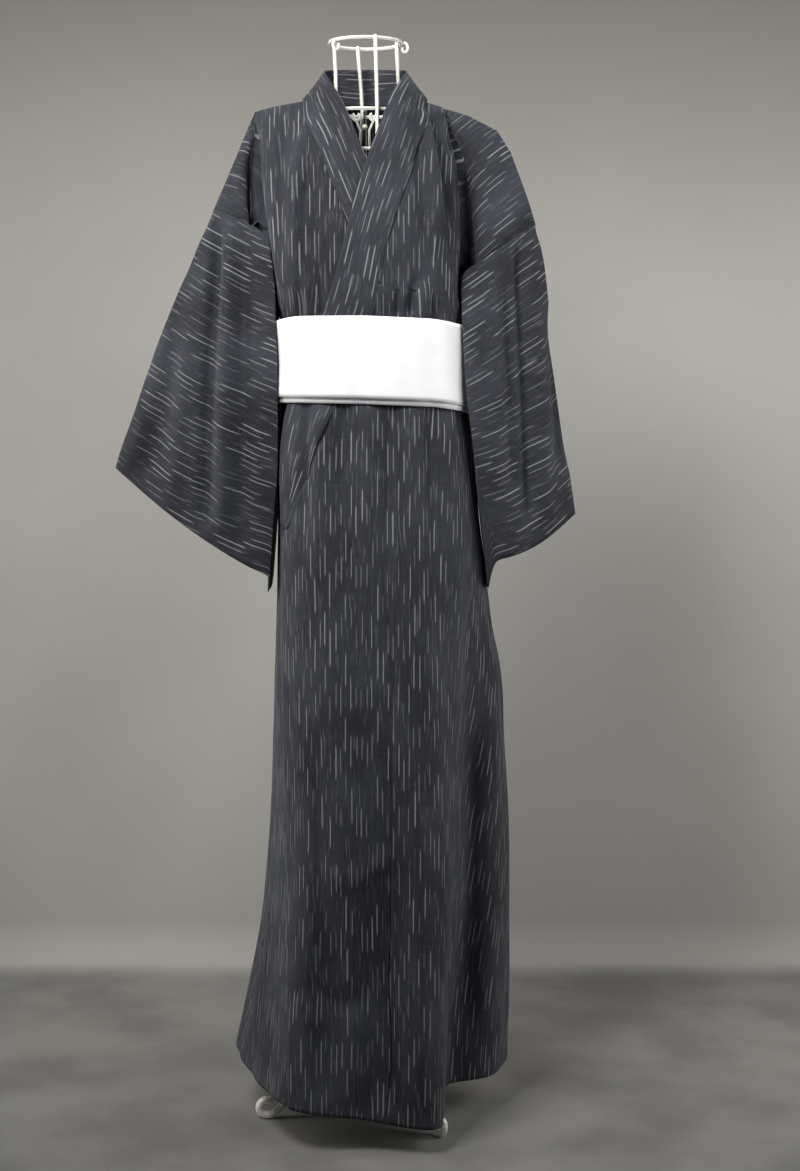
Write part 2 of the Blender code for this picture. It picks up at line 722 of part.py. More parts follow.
def sleeve(name, side):
    """A sleeve: a bag hung from its top fold, open at the armhole and at the cuff."""
    rows = []
    for share in np.linspace(0.0, 1.0, 9):
        _, _, side_x, side_z, fore, aft = sleeve_row(side, share)
        front = [sleeve_side(side, share, e, True) for e in np.linspace(0.04, 1.0, 8)]
        back = [sleeve_side(side, share, e, False) for e in np.linspace(1.0, 0.04, 8)]
        inner = [np.array([side_x, y, side_z]) for y in (-0.4 * fore, 0.0, 0.4 * aft)]
        rows.append(front + inner + back)
    return wall(name, np.array(rows), "cotton", closed=True)


# The obi's edges by share round it, from the centre back: (share, top, bottom).
OBI_EDGES = (
    (-1.0, 1.184, 1.068),
    (-0.75, 1.184, 1.070),
    (-0.60, 1.178, 1.070),
    (-0.5, 1.168, 1.070),
    (0.0, 1.178, 1.066),
    (0.5, 1.166, 1.052),
    (0.60, 1.172, 1.056),
    (0.75, 1.180, 1.064),
    (1.0, 1.184, 1.068),
)


def obi_wrap(name, out, lift, start):
    """One turn of the obi, begun at a share of the way round."""
    shares = np.linspace(start, start + 1.997, 41)
    rows = []
    for edge in (0.0, 0.5, 1.0):
        row = []
        for share in shares:
            a = (share + 1.0) % 2.0 - 1.0
            top, bottom = between(OBI_EDGES, a, 1) + lift, between(OBI_EDGES, a, 2) + lift
            z = bottom + (top - bottom) * edge
            row.append((*offset_plan(z, a, out), z))
        rows.append(row)
    return wall(name, np.array(rows), "obi")


# ------------------------------------------------------------------ the wire dress form
def tube(name, points, radius, closed=False, sides=8, kind="wire"):
    """A wire: an even polygon swept along points, turned so that flats face up and down."""
    points = np.asarray(points, float)
    count = len(points)
    rings = []
    for i, p in enumerate(points):
        if closed:
            along = points[(i + 1) % count] - points[i - 1]
        else:
            along = points[min(i + 1, count - 1)] - points[max(i - 1, 0)]
        along = along / np.linalg.norm(along)
        helper = np.array([0.0, 0.0, 1.0]) if abs(along[2]) < 0.9 else np.array([0.0, 1.0, 0.0])
        if rings and not closed:
            helper = rings[-1][1]
        across = np.cross(along, helper)
        across /= np.linalg.norm(across)
        up = np.cross(across, along)
        rings.append((p, up, across))
    made = []
    for p, up, across in rings:
        for k in range(sides):
            angle = math.pi / sides + 2 * math.pi * k / sides
            made.append(p + radius * (math.cos(angle) * up + math.sin(angle) * across))
    faces = []
    last = count if closed else count - 1
    for i in range(last):
        for k in range(sides):
            a, b = i * sides + k, i * sides + (k + 1) % sides
            c, d = ((i + 1) % count) * sides + (k + 1) % sides, ((i + 1) % count) * sides + k
            faces.append((a, b, c, d))
    if not closed:
        faces.append(tuple(range(sides))[::-1])
        faces.append(tuple((count - 1) * sides + k for k in range(sides)))
    return add_object(name, made, faces, kind)


def turned(x, y, z):
    """A point of the form, given as if it faced -Y, turned with the form."""
    c, s = math.cos(FORM_TURN), math.sin(FORM_TURN)
    return (x * c - y * s, x * s + y * c, z)


def form_rings():
    for name, z, half_width, half_depth, middle in RINGS:
        count = 24
        points = []
        for k in range(count):
            angle = 2 * math.pi * k / count
            points.append(turned(half_width * math.sin(angle), middle + half_depth * math.cos(angle), z))
        tube(name, points, WIRE, closed=True, sides=6)


def form_uprights():
    """Four wires: the front one runs down outside the rings and the others inside them,
    and all gather under the hip ring at the hub."""
    for name, across, along in (
        ("form_front_upright", 0, -1),
        ("form_back_upright", 0, 1),
        ("form_left_upright", 1, 0),
        ("form_right_upright", -1, 0),
    ):
        points = []
        for _, z, half_width, half_depth, middle in RINGS:
            clear = 2 * WIRE + GAP if along < 0 else -2 * WIRE - GAP
            size = (half_width if across else half_depth) + clear
            if z == RINGS[1][1]:
                size -= 0.0 if along < 0 else 0.003
            points.append((across * size, middle + along * size, z))
        points.insert(0, (points[0][0], points[0][1], HEIGHT_TOP + WIRE))
        points.append((across * 0.055, along * 0.050, HUB_Z + 0.045))
        reach_in = HUB_RADIUS + WIRE + 2 * GAP
        points.append((across * reach_in, along * reach_in, HUB_Z + 0.010))
        points.append((across * reach_in, along * reach_in, HUB_Z - 0.012))
        smooth = smooth_line(points, 34)
        tube(name, [turned(*p) for p in smooth], WIRE, sides=6)


def form_shoulders():
    """A wire over each shoulder, from the neck's base down to the bust ring."""
    for name, side, tip_x, tip_z in (
        ("form_right_shoulder", -1, 0.146, 1.470),
        ("form_left_shoulder", 1, 0.106, 1.477),
    ):
        points = (
            (side * 0.070, 0.012, 1.488),
            (side * 0.5 * (0.070 + tip_x), 0.012, 0.5 * (1.488 + tip_z)),
            (side * (tip_x - 0.006), 0.012, tip_z),
            (side * tip_x, 0.012, tip_z - 0.014),
            (side * (0.5 * tip_x + 0.062), 0.012, 1.370),
            (side * 0.122, 0.012, 1.300),
        )
        tube(name, smooth_line(points, 16), WIRE, sides=6)


def curl(centre, radius, start, sweep, shrink, count, plane):
    """A scroll's points: an arc that tightens, in a plane given by its two directions."""
    made = []
    for i in range(count):
        t = i / (count - 1)
        angle = math.radians(start + sweep * t)
        r = radius * (1 - shrink * t)
        spot = np.array(centre) + r * (math.cos(angle) * plane[0] + math.sin(angle) * plane[1])
        made.append(spot)
    return made


def neck_scrolls():
    """Small scrolls by the neck ring, and a pair that meets at a knot inside the collar."""
    across, up = np.array([1.0, 0.0, 0.0]), np.array([0.0, 0.0, 1.0])
    for name, side in (("form_right_scroll", -1), ("form_left_scroll", 1)):
        spot = np.array(turned(side * 0.0500, -0.0305, 1.572))
        points = curl(spot, 0.008, 100, -side * 300, 0.45, 12, (across * 0.7, up))
        tube(name, points, 0.0021, sides=6)
    for name, side in (("form_knot_scroll_right", -1), ("form_knot_scroll_left", 1)):
        centre = (side * 0.0125 - 0.001, 0.008, 1.479)
        points = curl(centre, 0.0065, 90 - side * 45, side * -290, 0.25, 12, (across, up))
        points = points[::-1]
        points.append(np.array([side * 0.0065 - 0.001, 0.008, 1.459]))
        points.append(np.array([side * 0.0065 - 0.001, 0.008, 1.436]))
        tube(name, points, 0.0020, sides=6)
    bpy.ops.mesh.primitive_uv_sphere_add(segments=10, ring_count=6, radius=0.0042)
    knot = bpy.context.object
    knot.name = "form_knot"
    knot.data.transform(knot.matrix_world)
    knot.location = (CENTRE[0] - 0.001, CENTRE[1] + 0.008, 1.464)
    knot.data.materials.append(material("wire"))


def turned_piece(name, radius, low, high, sides=16):
    """A plain upright round bar."""
    points, faces = [], []
    for z in (low, high):
        for k in range(sides):
            angle = 2 * math.pi * k / sides
            points.append((radius * math.cos(angle), radius * math.sin(angle), z))
    for k in range(sides):
        faces.append((k, (k + 1) % sides, sides + (k + 1) % sides, sides + k))
    faces.append(tuple(range(sides))[::-1])
    faces.append(tuple(range(sides, 2 * sides)))
    return add_object(name, points, faces, "wire")


def foot_line():
    """A leg in its own upright plane, out from the pole and round its floor scroll."""
    centre = (SCROLL_AT, FOOT_FLAT + SCROLL_RADIUS)
    points = [(0.0165, 0.232), (0.021, 0.200), (0.040, 0.150), (0.072, 0.092), (0.110, 0.040), (0.132, 0.016)]
    line = [tuple(p) for p in smooth_line(points, 11)]
    line.append((SCROLL_AT - 0.004, FOOT_FLAT))
    line.append((SCROLL_AT + 0.003, FOOT_FLAT))
    for i in range(1, 11):
        angle = math.radians(-90 + 22 * i)
        tight = SCROLL_RADIUS * (1 - 0.018 * i)
        line.append((centre[0] + 0.003 + tight * math.cos(angle), centre[1] + tight * math.sin(angle)))
    return line


FOOT_FLAT = FOOT_ROD * math.cos(math.pi / 8)  # the rod's centre when a flat lies on the floor


def feet():
    """Three scroll legs round the pole."""
    for name, direction in FOOT_DIRECTIONS.items():
        angle = math.radians(direction)
        out = np.array([math.sin(angle), -math.cos(angle), 0.0])
        side = np.array([out[1], -out[0], 0.0])
        points, faces = [], []
        line = foot_line()
        count, sides = len(line), 8
        for i, (r, z) in enumerate(line):
            r0, z0 = line[max(i - 1, 0)]
            r1, z1 = line[min(i + 1, count - 1)]
            if abs(z - FOOT_FLAT) < 1e-9 and i:
                r0, z0, r1, z1 = r - 1.0, z, r + 1.0, z
            length = math.hypot(r1 - r0, z1 - z0)
            up_r, up_z = -(z1 - z0) / length, (r1 - r0) / length
            for k in range(sides):
                turn = math.pi / sides + 2 * math.pi * k / sides
                a, b = FOOT_ROD * math.cos(turn), FOOT_ROD * math.sin(turn)
                spot = out * (r + a * up_r) + side * b
                points.append((spot[0], spot[1], z + a * up_z))
        for i in range(count - 1):
            for k in range(sides):
                a, b = i * sides + k, i * sides + (k + 1) % sides
                faces.append((a, b, b + sides, a + sides))
        faces.append(tuple(range(sides))[::-1])
        faces.append(tuple((count - 1) * sides + k for k in range(sides)))
        add_object("foot_" + name, points, faces, "wire")


def main():
    for old in list(bpy.data.objects):
        bpy.data.objects.remove(old)
    body_panel("body_left", 1)
    body_panel("body_right", -1)
    okumi_panel("okumi_left", 1)
    okumi_panel("okumi_right", -1)
    collar_band()
    sleeve("sleeve_left", 1)
    sleeve("sleeve_right", -1)
    obi_wrap("obi_inner", WALL + 12 * GAP, -0.004, 0.006)
    obi_wrap("obi_outer", 2 * WALL + 17 * GAP, 0.004, 0.006)
    form_rings()
    form_uprights()
    form_shoulders()
    neck_scrolls()
    turned_piece("form_hub", HUB_RADIUS, HUB_Z - HUB_HEIGHT / 2, HUB_Z + HUB_HEIGHT / 2)
    turned_piece("form_pole", POLE_RADIUS, POLE_FOOT - 0.09, HUB_Z - HUB_HEIGHT / 2 - GAP)
    feet()


main()
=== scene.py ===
"""A full-length cotton yukata under a plain white obi, on a white wire dress form.

Metres, +Z up, the robe's front towards -Y. "left" and "right" are the wearer's, so the left
front is at +X. The cloth follows the sections and tables of the solids, drawn finer; its
sleeves hang a little nearer the robe than the solids' do, and the skirt stands a little wider.
In the functions below, side is 1 for the left side and -1 for the right.
"""

import math

import bpy
import numpy as np
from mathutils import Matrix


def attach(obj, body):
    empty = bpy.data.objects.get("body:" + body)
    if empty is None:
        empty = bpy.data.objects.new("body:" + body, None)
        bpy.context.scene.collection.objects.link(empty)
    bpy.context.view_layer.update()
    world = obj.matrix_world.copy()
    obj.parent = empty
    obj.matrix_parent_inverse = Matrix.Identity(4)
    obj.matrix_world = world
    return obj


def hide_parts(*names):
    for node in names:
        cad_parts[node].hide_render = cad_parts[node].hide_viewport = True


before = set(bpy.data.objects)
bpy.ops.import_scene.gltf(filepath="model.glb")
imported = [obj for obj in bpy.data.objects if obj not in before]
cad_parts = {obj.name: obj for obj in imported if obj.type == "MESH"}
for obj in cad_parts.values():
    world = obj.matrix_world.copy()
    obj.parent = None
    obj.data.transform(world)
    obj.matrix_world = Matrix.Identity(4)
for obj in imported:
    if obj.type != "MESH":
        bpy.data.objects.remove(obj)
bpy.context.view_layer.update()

# ---- driving dimensions
WALL = 0.002  # thickness of the cloth walls
GAP = 0.0003  # the least space between two layers
UNDER = 0.0068  # how far in the covered right-hand layers lie from the left-hand ones
SHOULDER_BASE = 1.22  # where the chest starts to round over to the shoulder
SHOULDER_FULL = 0.62  # under 1: the chest stays full up to the shoulder
WAIST = 1.05  # the row from which the skirt's folds open
CENTRE = (0.0291, 0.0150)  # moves the whole so that its bounding box stands over the origin
HEM_LEVEL = 0.05  # the height at which the hem's plan is read
FLOOR_LEVEL = 0.03
PLAN_POINTS = 241  # round a whole section
HALF_STEPS = 120  # round each half of it
ROUNDNESS = 2.0 / 2.5  # under 1: the waist's section is a little squarer than an oval

# Plan sizes of the robe by height: how far it reaches to each side, forward and back.
# columns: z, right side, left side, front, back
SECTIONS = (
    (1.300, 0.150, 0.146, 0.112, 0.096),
    (1.220, 0.140, 0.145, 0.109, 0.094),
    (1.194, 0.132, 0.142, 0.104, 0.091),
    (1.170, 0.122, 0.137, 0.098, 0.088),
    (1.060, 0.128, 0.146, 0.098, 0.090),
    (1.025, 0.132, 0.156, 0.104, 0.096),
    (0.950, 0.134, 0.162, 0.116, 0.108),
    (0.850, 0.136, 0.174, 0.128, 0.120),
    (0.780, 0.137, 0.182, 0.136, 0.126),
    (0.660, 0.141, 0.203, 0.146, 0.134),
    (0.540, 0.144, 0.209, 0.155, 0.140),
    (0.420, 0.150, 0.216, 0.164, 0.144),
    (0.290, 0.163, 0.217, 0.173, 0.148),
    (0.160, 0.188, 0.215, 0.181, 0.152),
    (0.100, 0.203, 0.213, 0.184, 0.154),
    (0.030, 0.207, 0.212, 0.186, 0.155),
)

# The hem in plan, in shares of the section's reach, and the height of its edge there.
# columns: name, across, forward, edge height
HEM_STATIONS = (
    ("centre_back", 0.00, -1.00, 0.075),
    ("left_back", 0.70, -0.86, 0.072),
    ("left_side", 1.00, -0.38, 0.068),
    ("left_fore", 0.90, 0.08, 0.060),
    ("pleat_valley", 0.57, 0.22, 0.053),
    ("pleat_ridge", 0.49, 1.00, 0.038),
    ("front_mid", 0.02, 0.99, 0.051),
    ("front_corner", -0.52, 0.98, 0.066),
    ("right_fore", -0.80, 0.46, 0.070),
    ("right_side", -1.00, -0.16, 0.100),
    ("right_back", -0.74, -0.80, 0.090),
)
FRONT_STATION = 6  # the row of HEM_STATIONS that lies at the middle of the front

# How the skirt passes from the waist's oval to the hem's plan, by height.
# columns: z, share
OPENING = ((1.05, 0.0), (0.90, 0.10), (0.70, 0.36), (0.45, 0.72), (0.20, 0.95), (0.03, 1.0))

# The shoulder line from the neck outward, then the fold down the top of each sleeve.
# columns: x, z
RIGHT_RIDGE = ((0.0, 1.498), (-0.085, 1.499), (-0.125, 1.492), (-0.161, 1.484))
LEFT_RIDGE = ((0.0, 1.498), (0.085, 1.497), (0.100, 1.494), (0.116, 1.489))
RIGHT_FOLD = ((-0.161, 1.484), (-0.207, 1.376), (-0.244, 1.303), (-0.306, 1.164), (-0.376, 0.979))
LEFT_FOLD = (
    (0.116, 1.489),
    (0.177, 1.469),
    (0.199, 1.452),
    (0.217, 1.412),
    (0.245, 1.339),
    (0.259, 1.273),
    (0.276, 1.172),
    (0.288, 1.093),
    (0.298, 1.010),
    (0.312, 0.908),
)
RIGHT_ARMHOLE = 0.150  # along the fold, from its first point to the armhole seam
LEFT_ARMHOLE = 0.230

# A sleeve's inner side by share of its length: where its front turns in (turn), and the
# side that faces the robe (side). "fore" and "aft" are half depths at the turn.
# columns: share, turn x, turn z, side x, side z, fore, aft
RIGHT_SLEEVE = (
    (0.00, -0.158, 1.318, -0.161, 1.312, 0.034, 0.034),
    (0.03, -0.147, 1.310, -0.152, 1.304, 0.037, 0.035),
    (0.07, -0.138, 1.298, -0.148, 1.290, 0.040, 0.036),
    (0.25, -0.130, 1.232, -0.144, 1.220, 0.050, 0.042),
    (0.50, -0.126, 1.120, -0.141, 1.105, 0.062, 0.052),
    (0.75, -0.126, 0.985, -0.137, 0.970, 0.062, 0.056),
    (1.00, -0.139, 0.812, -0.143, 0.790, 0.054, 0.052),
)
LEFT_SLEEVE = (
    (0.00, 0.153, 1.262, 0.157, 1.256, 0.036, 0.034),
    (0.03, 0.144, 1.256, 0.150, 1.250, 0.040, 0.035),
    (0.07, 0.138, 1.244, 0.149, 1.236, 0.044, 0.036),
    (0.25, 0.140, 1.180, 0.158, 1.168, 0.058, 0.040),
    (0.50, 0.146, 1.085, 0.159, 1.066, 0.066, 0.046),
    (0.75, 0.158, 0.975, 0.164, 0.935, 0.060, 0.050),
    (1.00, 0.192, 0.838, 0.179, 0.796, 0.052, 0.052),
)


# ---- small helpers
def between(table, key, column=1):
    """A table's column read at a key; the first column may rise or fall."""
    keys, values = zip(*sorted((row[0], row[column]) for row in table), strict=True)
    return float(np.interp(key, keys, values))


def eased(share):
    share = np.clip(share, 0.0, 1.0)
    return share * share * (3.0 - 2.0 * share)


def distances(points):
    """How far along a line of points each one lies."""
    steps = np.linalg.norm(np.diff(points, axis=0), axis=1)
    return np.concatenate([[0.0], np.cumsum(steps)])


def row_distances(grid):
    """How far along its own row each point of a grid lies."""
    steps = np.linalg.norm(np.diff(grid, axis=1), axis=2)
    return np.concatenate([np.zeros((len(grid), 1)), np.cumsum(steps, axis=1)], axis=1)


def read_line(points, wanted):
    """The points of a line that lie at the wanted distances along it."""
    along = distances(points)
    return np.stack([np.interp(wanted, along, column) for column in points.T], axis=-1)


def resampled(points, count):
    """count points evenly spaced along a line."""
    points = np.asarray(points, float)
    return read_line(points, np.linspace(0.0, distances(points)[-1], count))


def smooth_line(points, count, closed=False):
    """A Catmull-Rom curve through the points, as count evenly spaced points."""
    p = np.asarray(points, float)
    if closed:
        p = np.vstack([p[-1], p, p[0], p[1]])
    else:
        p = np.vstack([2 * p[0] - p[1], p, 2 * p[-1] - p[-2]])
    made = []
    for a, b, c, d in zip(p, p[1:], p[2:], p[3:], strict=False):
        for t in np.linspace(0.0, 1.0, 12, endpoint=False):
            made.append(
                0.5 * (2 * b + (c - a) * t + (2 * a - 5 * b + 4 * c - d) * t**2
                       + (3 * b - a - 3 * c + d) * t**3)
            )
    made.append(p[-2])
    return resampled(made, count)


# ---- the robe's plan by height
def reach(z):
    """The section's four reaches at a height: right side, left side, front, back."""
    return [between(SECTIONS, z, column) for column in range(1, 5)]


def oval(z):
    """The rounded section at a height, from the centre back round by the left side (+X)."""
    right, left, front, back = reach(z)
    made = []
    for angle in np.linspace(0.0, 2 * math.pi, PLAN_POINTS):
        across, along = math.sin(angle), math.cos(angle)
        x = math.copysign(abs(across) ** ROUNDNESS, across) * (left if across > 0 else right)
        y = math.copysign(abs(along) ** ROUNDNESS, along) * (back if along > 0 else front)
        made.append((x, y))
    return np.array(made)


def hem_spots(z):
    """The hem's stations on the section at a height, as (x, y)."""
    right, left, front, back = reach(z)
    return [
        (across * (left if across > 0 else right), -forward * (front if forward > 0 else back))
        for _, across, forward, _ in HEM_STATIONS
    ]


def hem_plan(z):
    """The opened section at a height, through the hem's stations."""
    return smooth_line(hem_spots(z), PLAN_POINTS, closed=True)


def halves(line):
    """Splits a closed line at the front's middle: from the centre back to it, both ways."""
    index = int(np.argmin(np.where(line[:, 1] < 0, np.abs(line[:, 0]), 9.0)))
    return line[: index + 1], line[index:][::-1]


def ring(z, cache={}):
    """Both half sections at a height as even points: by the left side, by the right."""
    key = round(z, 4)
    if key not in cache:
        share = between(OPENING, z)
        cache[key] = [
            (1 - share) * resampled(closed_half, HALF_STEPS + 1)
            + share * resampled(open_half, HALF_STEPS + 1)
            for closed_half, open_half in zip(halves(oval(z)), halves(hem_plan(z)), strict=True)
        ]
    return cache[key]


def on_ring(z, a):
    """The point at share a of the way from the centre back (0) round to the front's middle:
    a > 0 goes by the left side and may pass 1 onto the right, a < 0 the other way."""
    left_half, right_half = ring(z)
    if a > 1.0:
        half, a = right_half, 2.0 - a
    elif a < -1.0:
        half, a = left_half, 2.0 + a
    else:
        half = left_half if a >= 0 else right_half
    at = abs(a) * HALF_STEPS
    i = min(int(at), HALF_STEPS - 1)
    return half[i] + (at - i) * (half[i + 1] - half[i])


def share_at(z, x, side):
    """The share a at which the front of the section has a given x, for a panel that comes
    round from one side."""
    shares = np.linspace(0.55, 1.45, 181)
    xs = np.array([on_ring(z, side * a)[0] for a in shares])
    order = np.argsort(-side * xs)
    return float(np.interp(-side * x, (-side * xs)[order], shares[order]))


def nearest_point(line, spot):
    return int(np.argmin(np.linalg.norm(line - np.array(spot), axis=1)))


def hem_height(a):
    """The hem's height at share a, read from the stations round the hem."""
    heights = [row[3] for row in HEM_STATIONS]
    line = hem_plan(HEM_LEVEL)
    at = [nearest_point(line, spot) for spot in hem_spots(HEM_LEVEL)]
    at[0] = 0
    at.append(len(line) - 1)
    index = np.interp((a + 2.0) % 2.0, (0, 1, 2), (0, at[FRONT_STATION], at[-1]))
    return float(np.interp(index, at, heights + [heights[0]]))


# ---- panels above the waist
ARM_SIDE = {
    -1: ((1.22, 0.140), (1.30, 0.152), (1.36, 0.160), (1.43, 0.163), (1.484, 0.161)),
    1: ((1.22, 0.145), (1.30, 0.149), (1.36, 0.147), (1.42, 0.141), (1.46, 0.122), (1.489, 0.116)),
}
RIDGE = {-1: RIGHT_RIDGE, 1: LEFT_RIDGE}
FOLD = {-1: RIGHT_FOLD, 1: LEFT_FOLD}
ARMHOLE = {-1: RIGHT_ARMHOLE, 1: LEFT_ARMHOLE}
SLEEVE = {-1: RIGHT_SLEEVE, 1: LEFT_SLEEVE}
# The seam of each front panel with its okumi, in x by z, below the chest.
OKUMI_SEAM = {
    -1: ((1.22, -0.022), (1.05, -0.062), (0.60, -0.078), (0.03, -0.075)),
    1: ((1.22, 0.042), (1.17, 0.047), (1.05, 0.052), (0.60, 0.040), (0.03, 0.030)),
}
# The free front edge of each okumi below the collar's end, in x by z.
FRONT_EDGE = {
    -1: ((1.11, 0.052), (0.90, 0.085), (0.03, 0.060)),
    1: ((0.870, -0.1205), (0.737, -0.1210), (0.456, -0.1170), (0.165, -0.1130), (0.03, -0.1100)),
}
# The collar on each front: the seam that joins it to the robe, and its free edge.
# columns: seam x, seam z, free x, free z
COLLAR_LEFT = (
    (0.0868, 1.492, 0.050, 1.521),
    (0.0850, 1.465, 0.037, 1.497),
    (0.0755, 1.420, 0.018, 1.448),
    (0.0545, 1.360, 0.000, 1.398),
    (0.0320, 1.290, -0.021, 1.325),
    (0.0140, 1.195, -0.046, 1.228),
    (-0.0150, 1.120, -0.072, 1.155),
    (-0.0440, 1.056, -0.104, 1.085),
    (-0.0750, 0.980, -0.121, 1.000),
    (-0.1110, 0.885, -0.1215, 0.892),
)
COLLAR_RIGHT = (
    (-0.0868, 1.492, -0.050, 1.522),
    (-0.0850, 1.465, -0.037, 1.500),
    (-0.0720, 1.440, -0.022, 1.470),
    (-0.0540, 1.395, -0.002, 1.420),
    (-0.0360, 1.350, 0.017, 1.375),
    (-0.0100, 1.290, 0.040, 1.315),
    (0.0240, 1.200, 0.078, 1.225),
    (0.0540, 1.115, 0.104, 1.135),
)
# Round the neck, from the centre back to the side: the band's seam and its free edge.
# columns: seam x, seam y, seam z, free x, free y, free z
COLLAR_NECK = (
    (0.000, 0.0370, 1.4945, 0.000, 0.058, 1.553),
    (0.045, 0.0270, 1.4985, 0.036, 0.050, 1.552),
    (0.072, 0.0140, 1.5005, 0.053, 0.024, 1.547),
    (0.0878, -0.0060, 1.5008, 0.058, -0.012, 1.539),
)
COLLAR_LEG = {-1: COLLAR_RIGHT, 1: COLLAR_LEFT}
SIDE_SHARE = {-1: ((0.03, 0.50), (1.22, 0.50)), 1: ((0.03, 0.40), (1.05, 0.46), (1.22, 0.50))}
NECK_HALF = 0.0875  # from the middle to the neckline's end on the shoulder
NECK_LOW = math.radians(78)  # the row at which the back neckline is lowest
OKUMI_TOP = 1.232
RIDGE_TOP = 1.497  # the shoulder line where the collar leaves it
COLLAR_ENDS = {-1: 1.12, 1: 0.885}  # the height at which the collar ends on each front
COLLAR_STAND = 0.048  # how far its free edge stands off the neck
COLLAR_STEPS = 60
COLLAR_ACROSS = (0.0, 1 / 3, 2 / 3, 1.0)
CAP_COLUMNS = 3  # the columns past the shoulder's valley
LIP = 0.0012
SHOULDER_ROWS = 6
CHEST_ROWS = 4
SKIRT_ROWS = 11
OKUMI_COLUMNS = 8
FOLD_GAP = 0.04  # the share of each sleeve wall left open at its top
LAP_ENDS = 0.137  # the x at which the left front stops covering the right
COLLAR_TOP = 1.52
# The obi's edges by share round it, from the centre back: (share, top, bottom).
OBI_EDGES = (
    (-1.0, 1.184, 1.068),
    (-0.75, 1.184, 1.070),
    (-0.60, 1.178, 1.070),
    (-0.5, 1.168, 1.070),
    (0.0, 1.178, 1.066),
    (0.5, 1.166, 1.052),
    (0.60, 1.172, 1.056),
    (0.75, 1.180, 1.064),
    (1.0, 1.184, 1.068),
)
OBI_START, OBI_TURN = 0.006, 1.997  # from just past the centre back, and nearly round to it
OBI_CROWN, OBI_STEP = 0.0012, 0.006
# columns: ripples in a turn, phase, height, change of phase across the obi
OBI_RIPPLES = ((9, 0.3, 0.0007, 1.0), (14, 2.1, 0.0005, -2.0), (23, 4.0, 0.0003, 1.6))

CLOTH, COLLAR_CLOTH, OBI_CLOTH = 0.0009, 0.0019, 0.0018  # thicknesses
ALONG_STEP, ACROSS_STEP = 0.0065, 0.0040  # the finer cloth's steps
SLEEVE_STEP = 0.0050
STEEPEST = 2.5
SEWN_GAP, SEWN_SHARE = 0.009, 0.11  # how near and how far down a sleeve is drawn to its seam
COLLAR_LIFT = 0.0016
SHOULDER_DROP = 0.35  # how fast the sleeve's cut runs down over the shoulder's depth
SLANT = {-1: 33.0, 1: 43.0}  # degrees that a sleeve's warp hangs down from level
SLEEVE_OFFSET = {-1: (0.4, 0.7), 1: (0.9, 0.3)}  # where a sleeve lies on the bolt
FOLD_SIZE = 2.5  # how much deeper the folds are built than their tables say
WAVES, WAVE_SIZE, WAVE_HEIGHT = 10, 0.11, 0.0016  # the unevenness that all worn cotton has
SEAM_DEPTH, SEAM_WIDTH = 0.0012, 0.0022  # how an edge turns in at a seam

PITCH = 0.0074  # from one column of dashes to the next
PERIOD = 0.086  # from one dash to the next in a column
THREAD = 0.0009
GROUND_LIGHT, GROUND_DARK = (0.0330, 0.0355, 0.0460), (0.0090, 0.0096, 0.0130)
DASH_COLOUR = (0.270, 0.278, 0.285)
PAPER_DARK, PAPER_LIGHT = (0.315, 0.307, 0.288), (0.365, 0.357, 0.338)
# painted shade: the darker tone that the wall fades to towards its top
PAPER_TOP_SHADE = (0.17, 0.165, 0.142)
FLOOR_DARK, FLOOR_LIGHT = (0.180, 0.177, 0.166), (0.240, 0.236, 0.222)
WALL_AT, BEND = 0.80, 0.09  # the studio's wall and the bend at its foot
CAMERA_SIDE, CAMERA_FAR, CAMERA_HIGH, CAMERA_TILT, LENS = 0.05, 3.0, 1.07, 84.8, 62.72


def collar_seam(side, z, cache={}):
    """The x at which a front panel meets the collar at a height."""
    if side not in cache:
        line = [(1.504, side * NECK_HALF)] + [(row[1], row[0]) for row in COLLAR_LEG[side]]
        cache[side] = [tuple(p) for p in smooth_line(line, 60)]
    return between(cache[side], z) - side * 0.0030


def front_inner(side, z):
    """The x of a front panel's inner edge: the collar's seam, or below the chest the okumi's."""
    return collar_seam(side, z) if z > SHOULDER_BASE + 1e-6 else between(OKUMI_SEAM[side], z)


def okumi_inner(side, z):
    """The x of an okumi's inner edge: the collar's seam, or its free edge below the collar."""
    if z > COLLAR_ENDS[side]:
        return collar_seam(side, z)
    if side < 0:
        return between(FRONT_EDGE[side], z)
    ends = COLLAR_ENDS[side]
    return between(((ends, collar_seam(side, ends)), *FRONT_EDGE[side]), z)


def ridge_height(side, x):
    return between([(abs(a), b) for a, b in RIDGE[side]], abs(x))


def risen(top, psi):
    """The height of shoulder row psi where the shoulder line above it is at top."""
    return SHOULDER_BASE + (top - SHOULDER_BASE) * math.sin(psi)


def chest_depth(side, x, z, front=True, stand=0.0):
    """How far the robe's front or back lies from the middle, at x and z above the chest.
    stand raises the shoulder line, for the collar's free edge, which stands off the neck."""
    _, _, fore, aft = reach(SHOULDER_BASE)
    tip = RIDGE[side][-1][1]
    rise = (z - SHOULDER_BASE) / (ridge_height(side, x) + stand - SHOULDER_BASE)
    rise = min(max(rise, 0.0), 1.0)
    half = between(ARM_SIDE[side], SHOULDER_BASE + (tip - SHOULDER_BASE) * rise)
    share = min(abs(x) / half, 1.0)
    fullness = (1 - rise * rise) ** (SHOULDER_FULL / 2) * (1.0 - share**2.5) ** 0.4
    return (-fore if front else aft) * fullness


def covered(side, x):
    """How far in a right-hand front lies at x: full where the left-hand front covers it."""
    return UNDER * float(eased((LAP_ENDS - abs(x)) / 0.045)) if side < 0 else 0.0


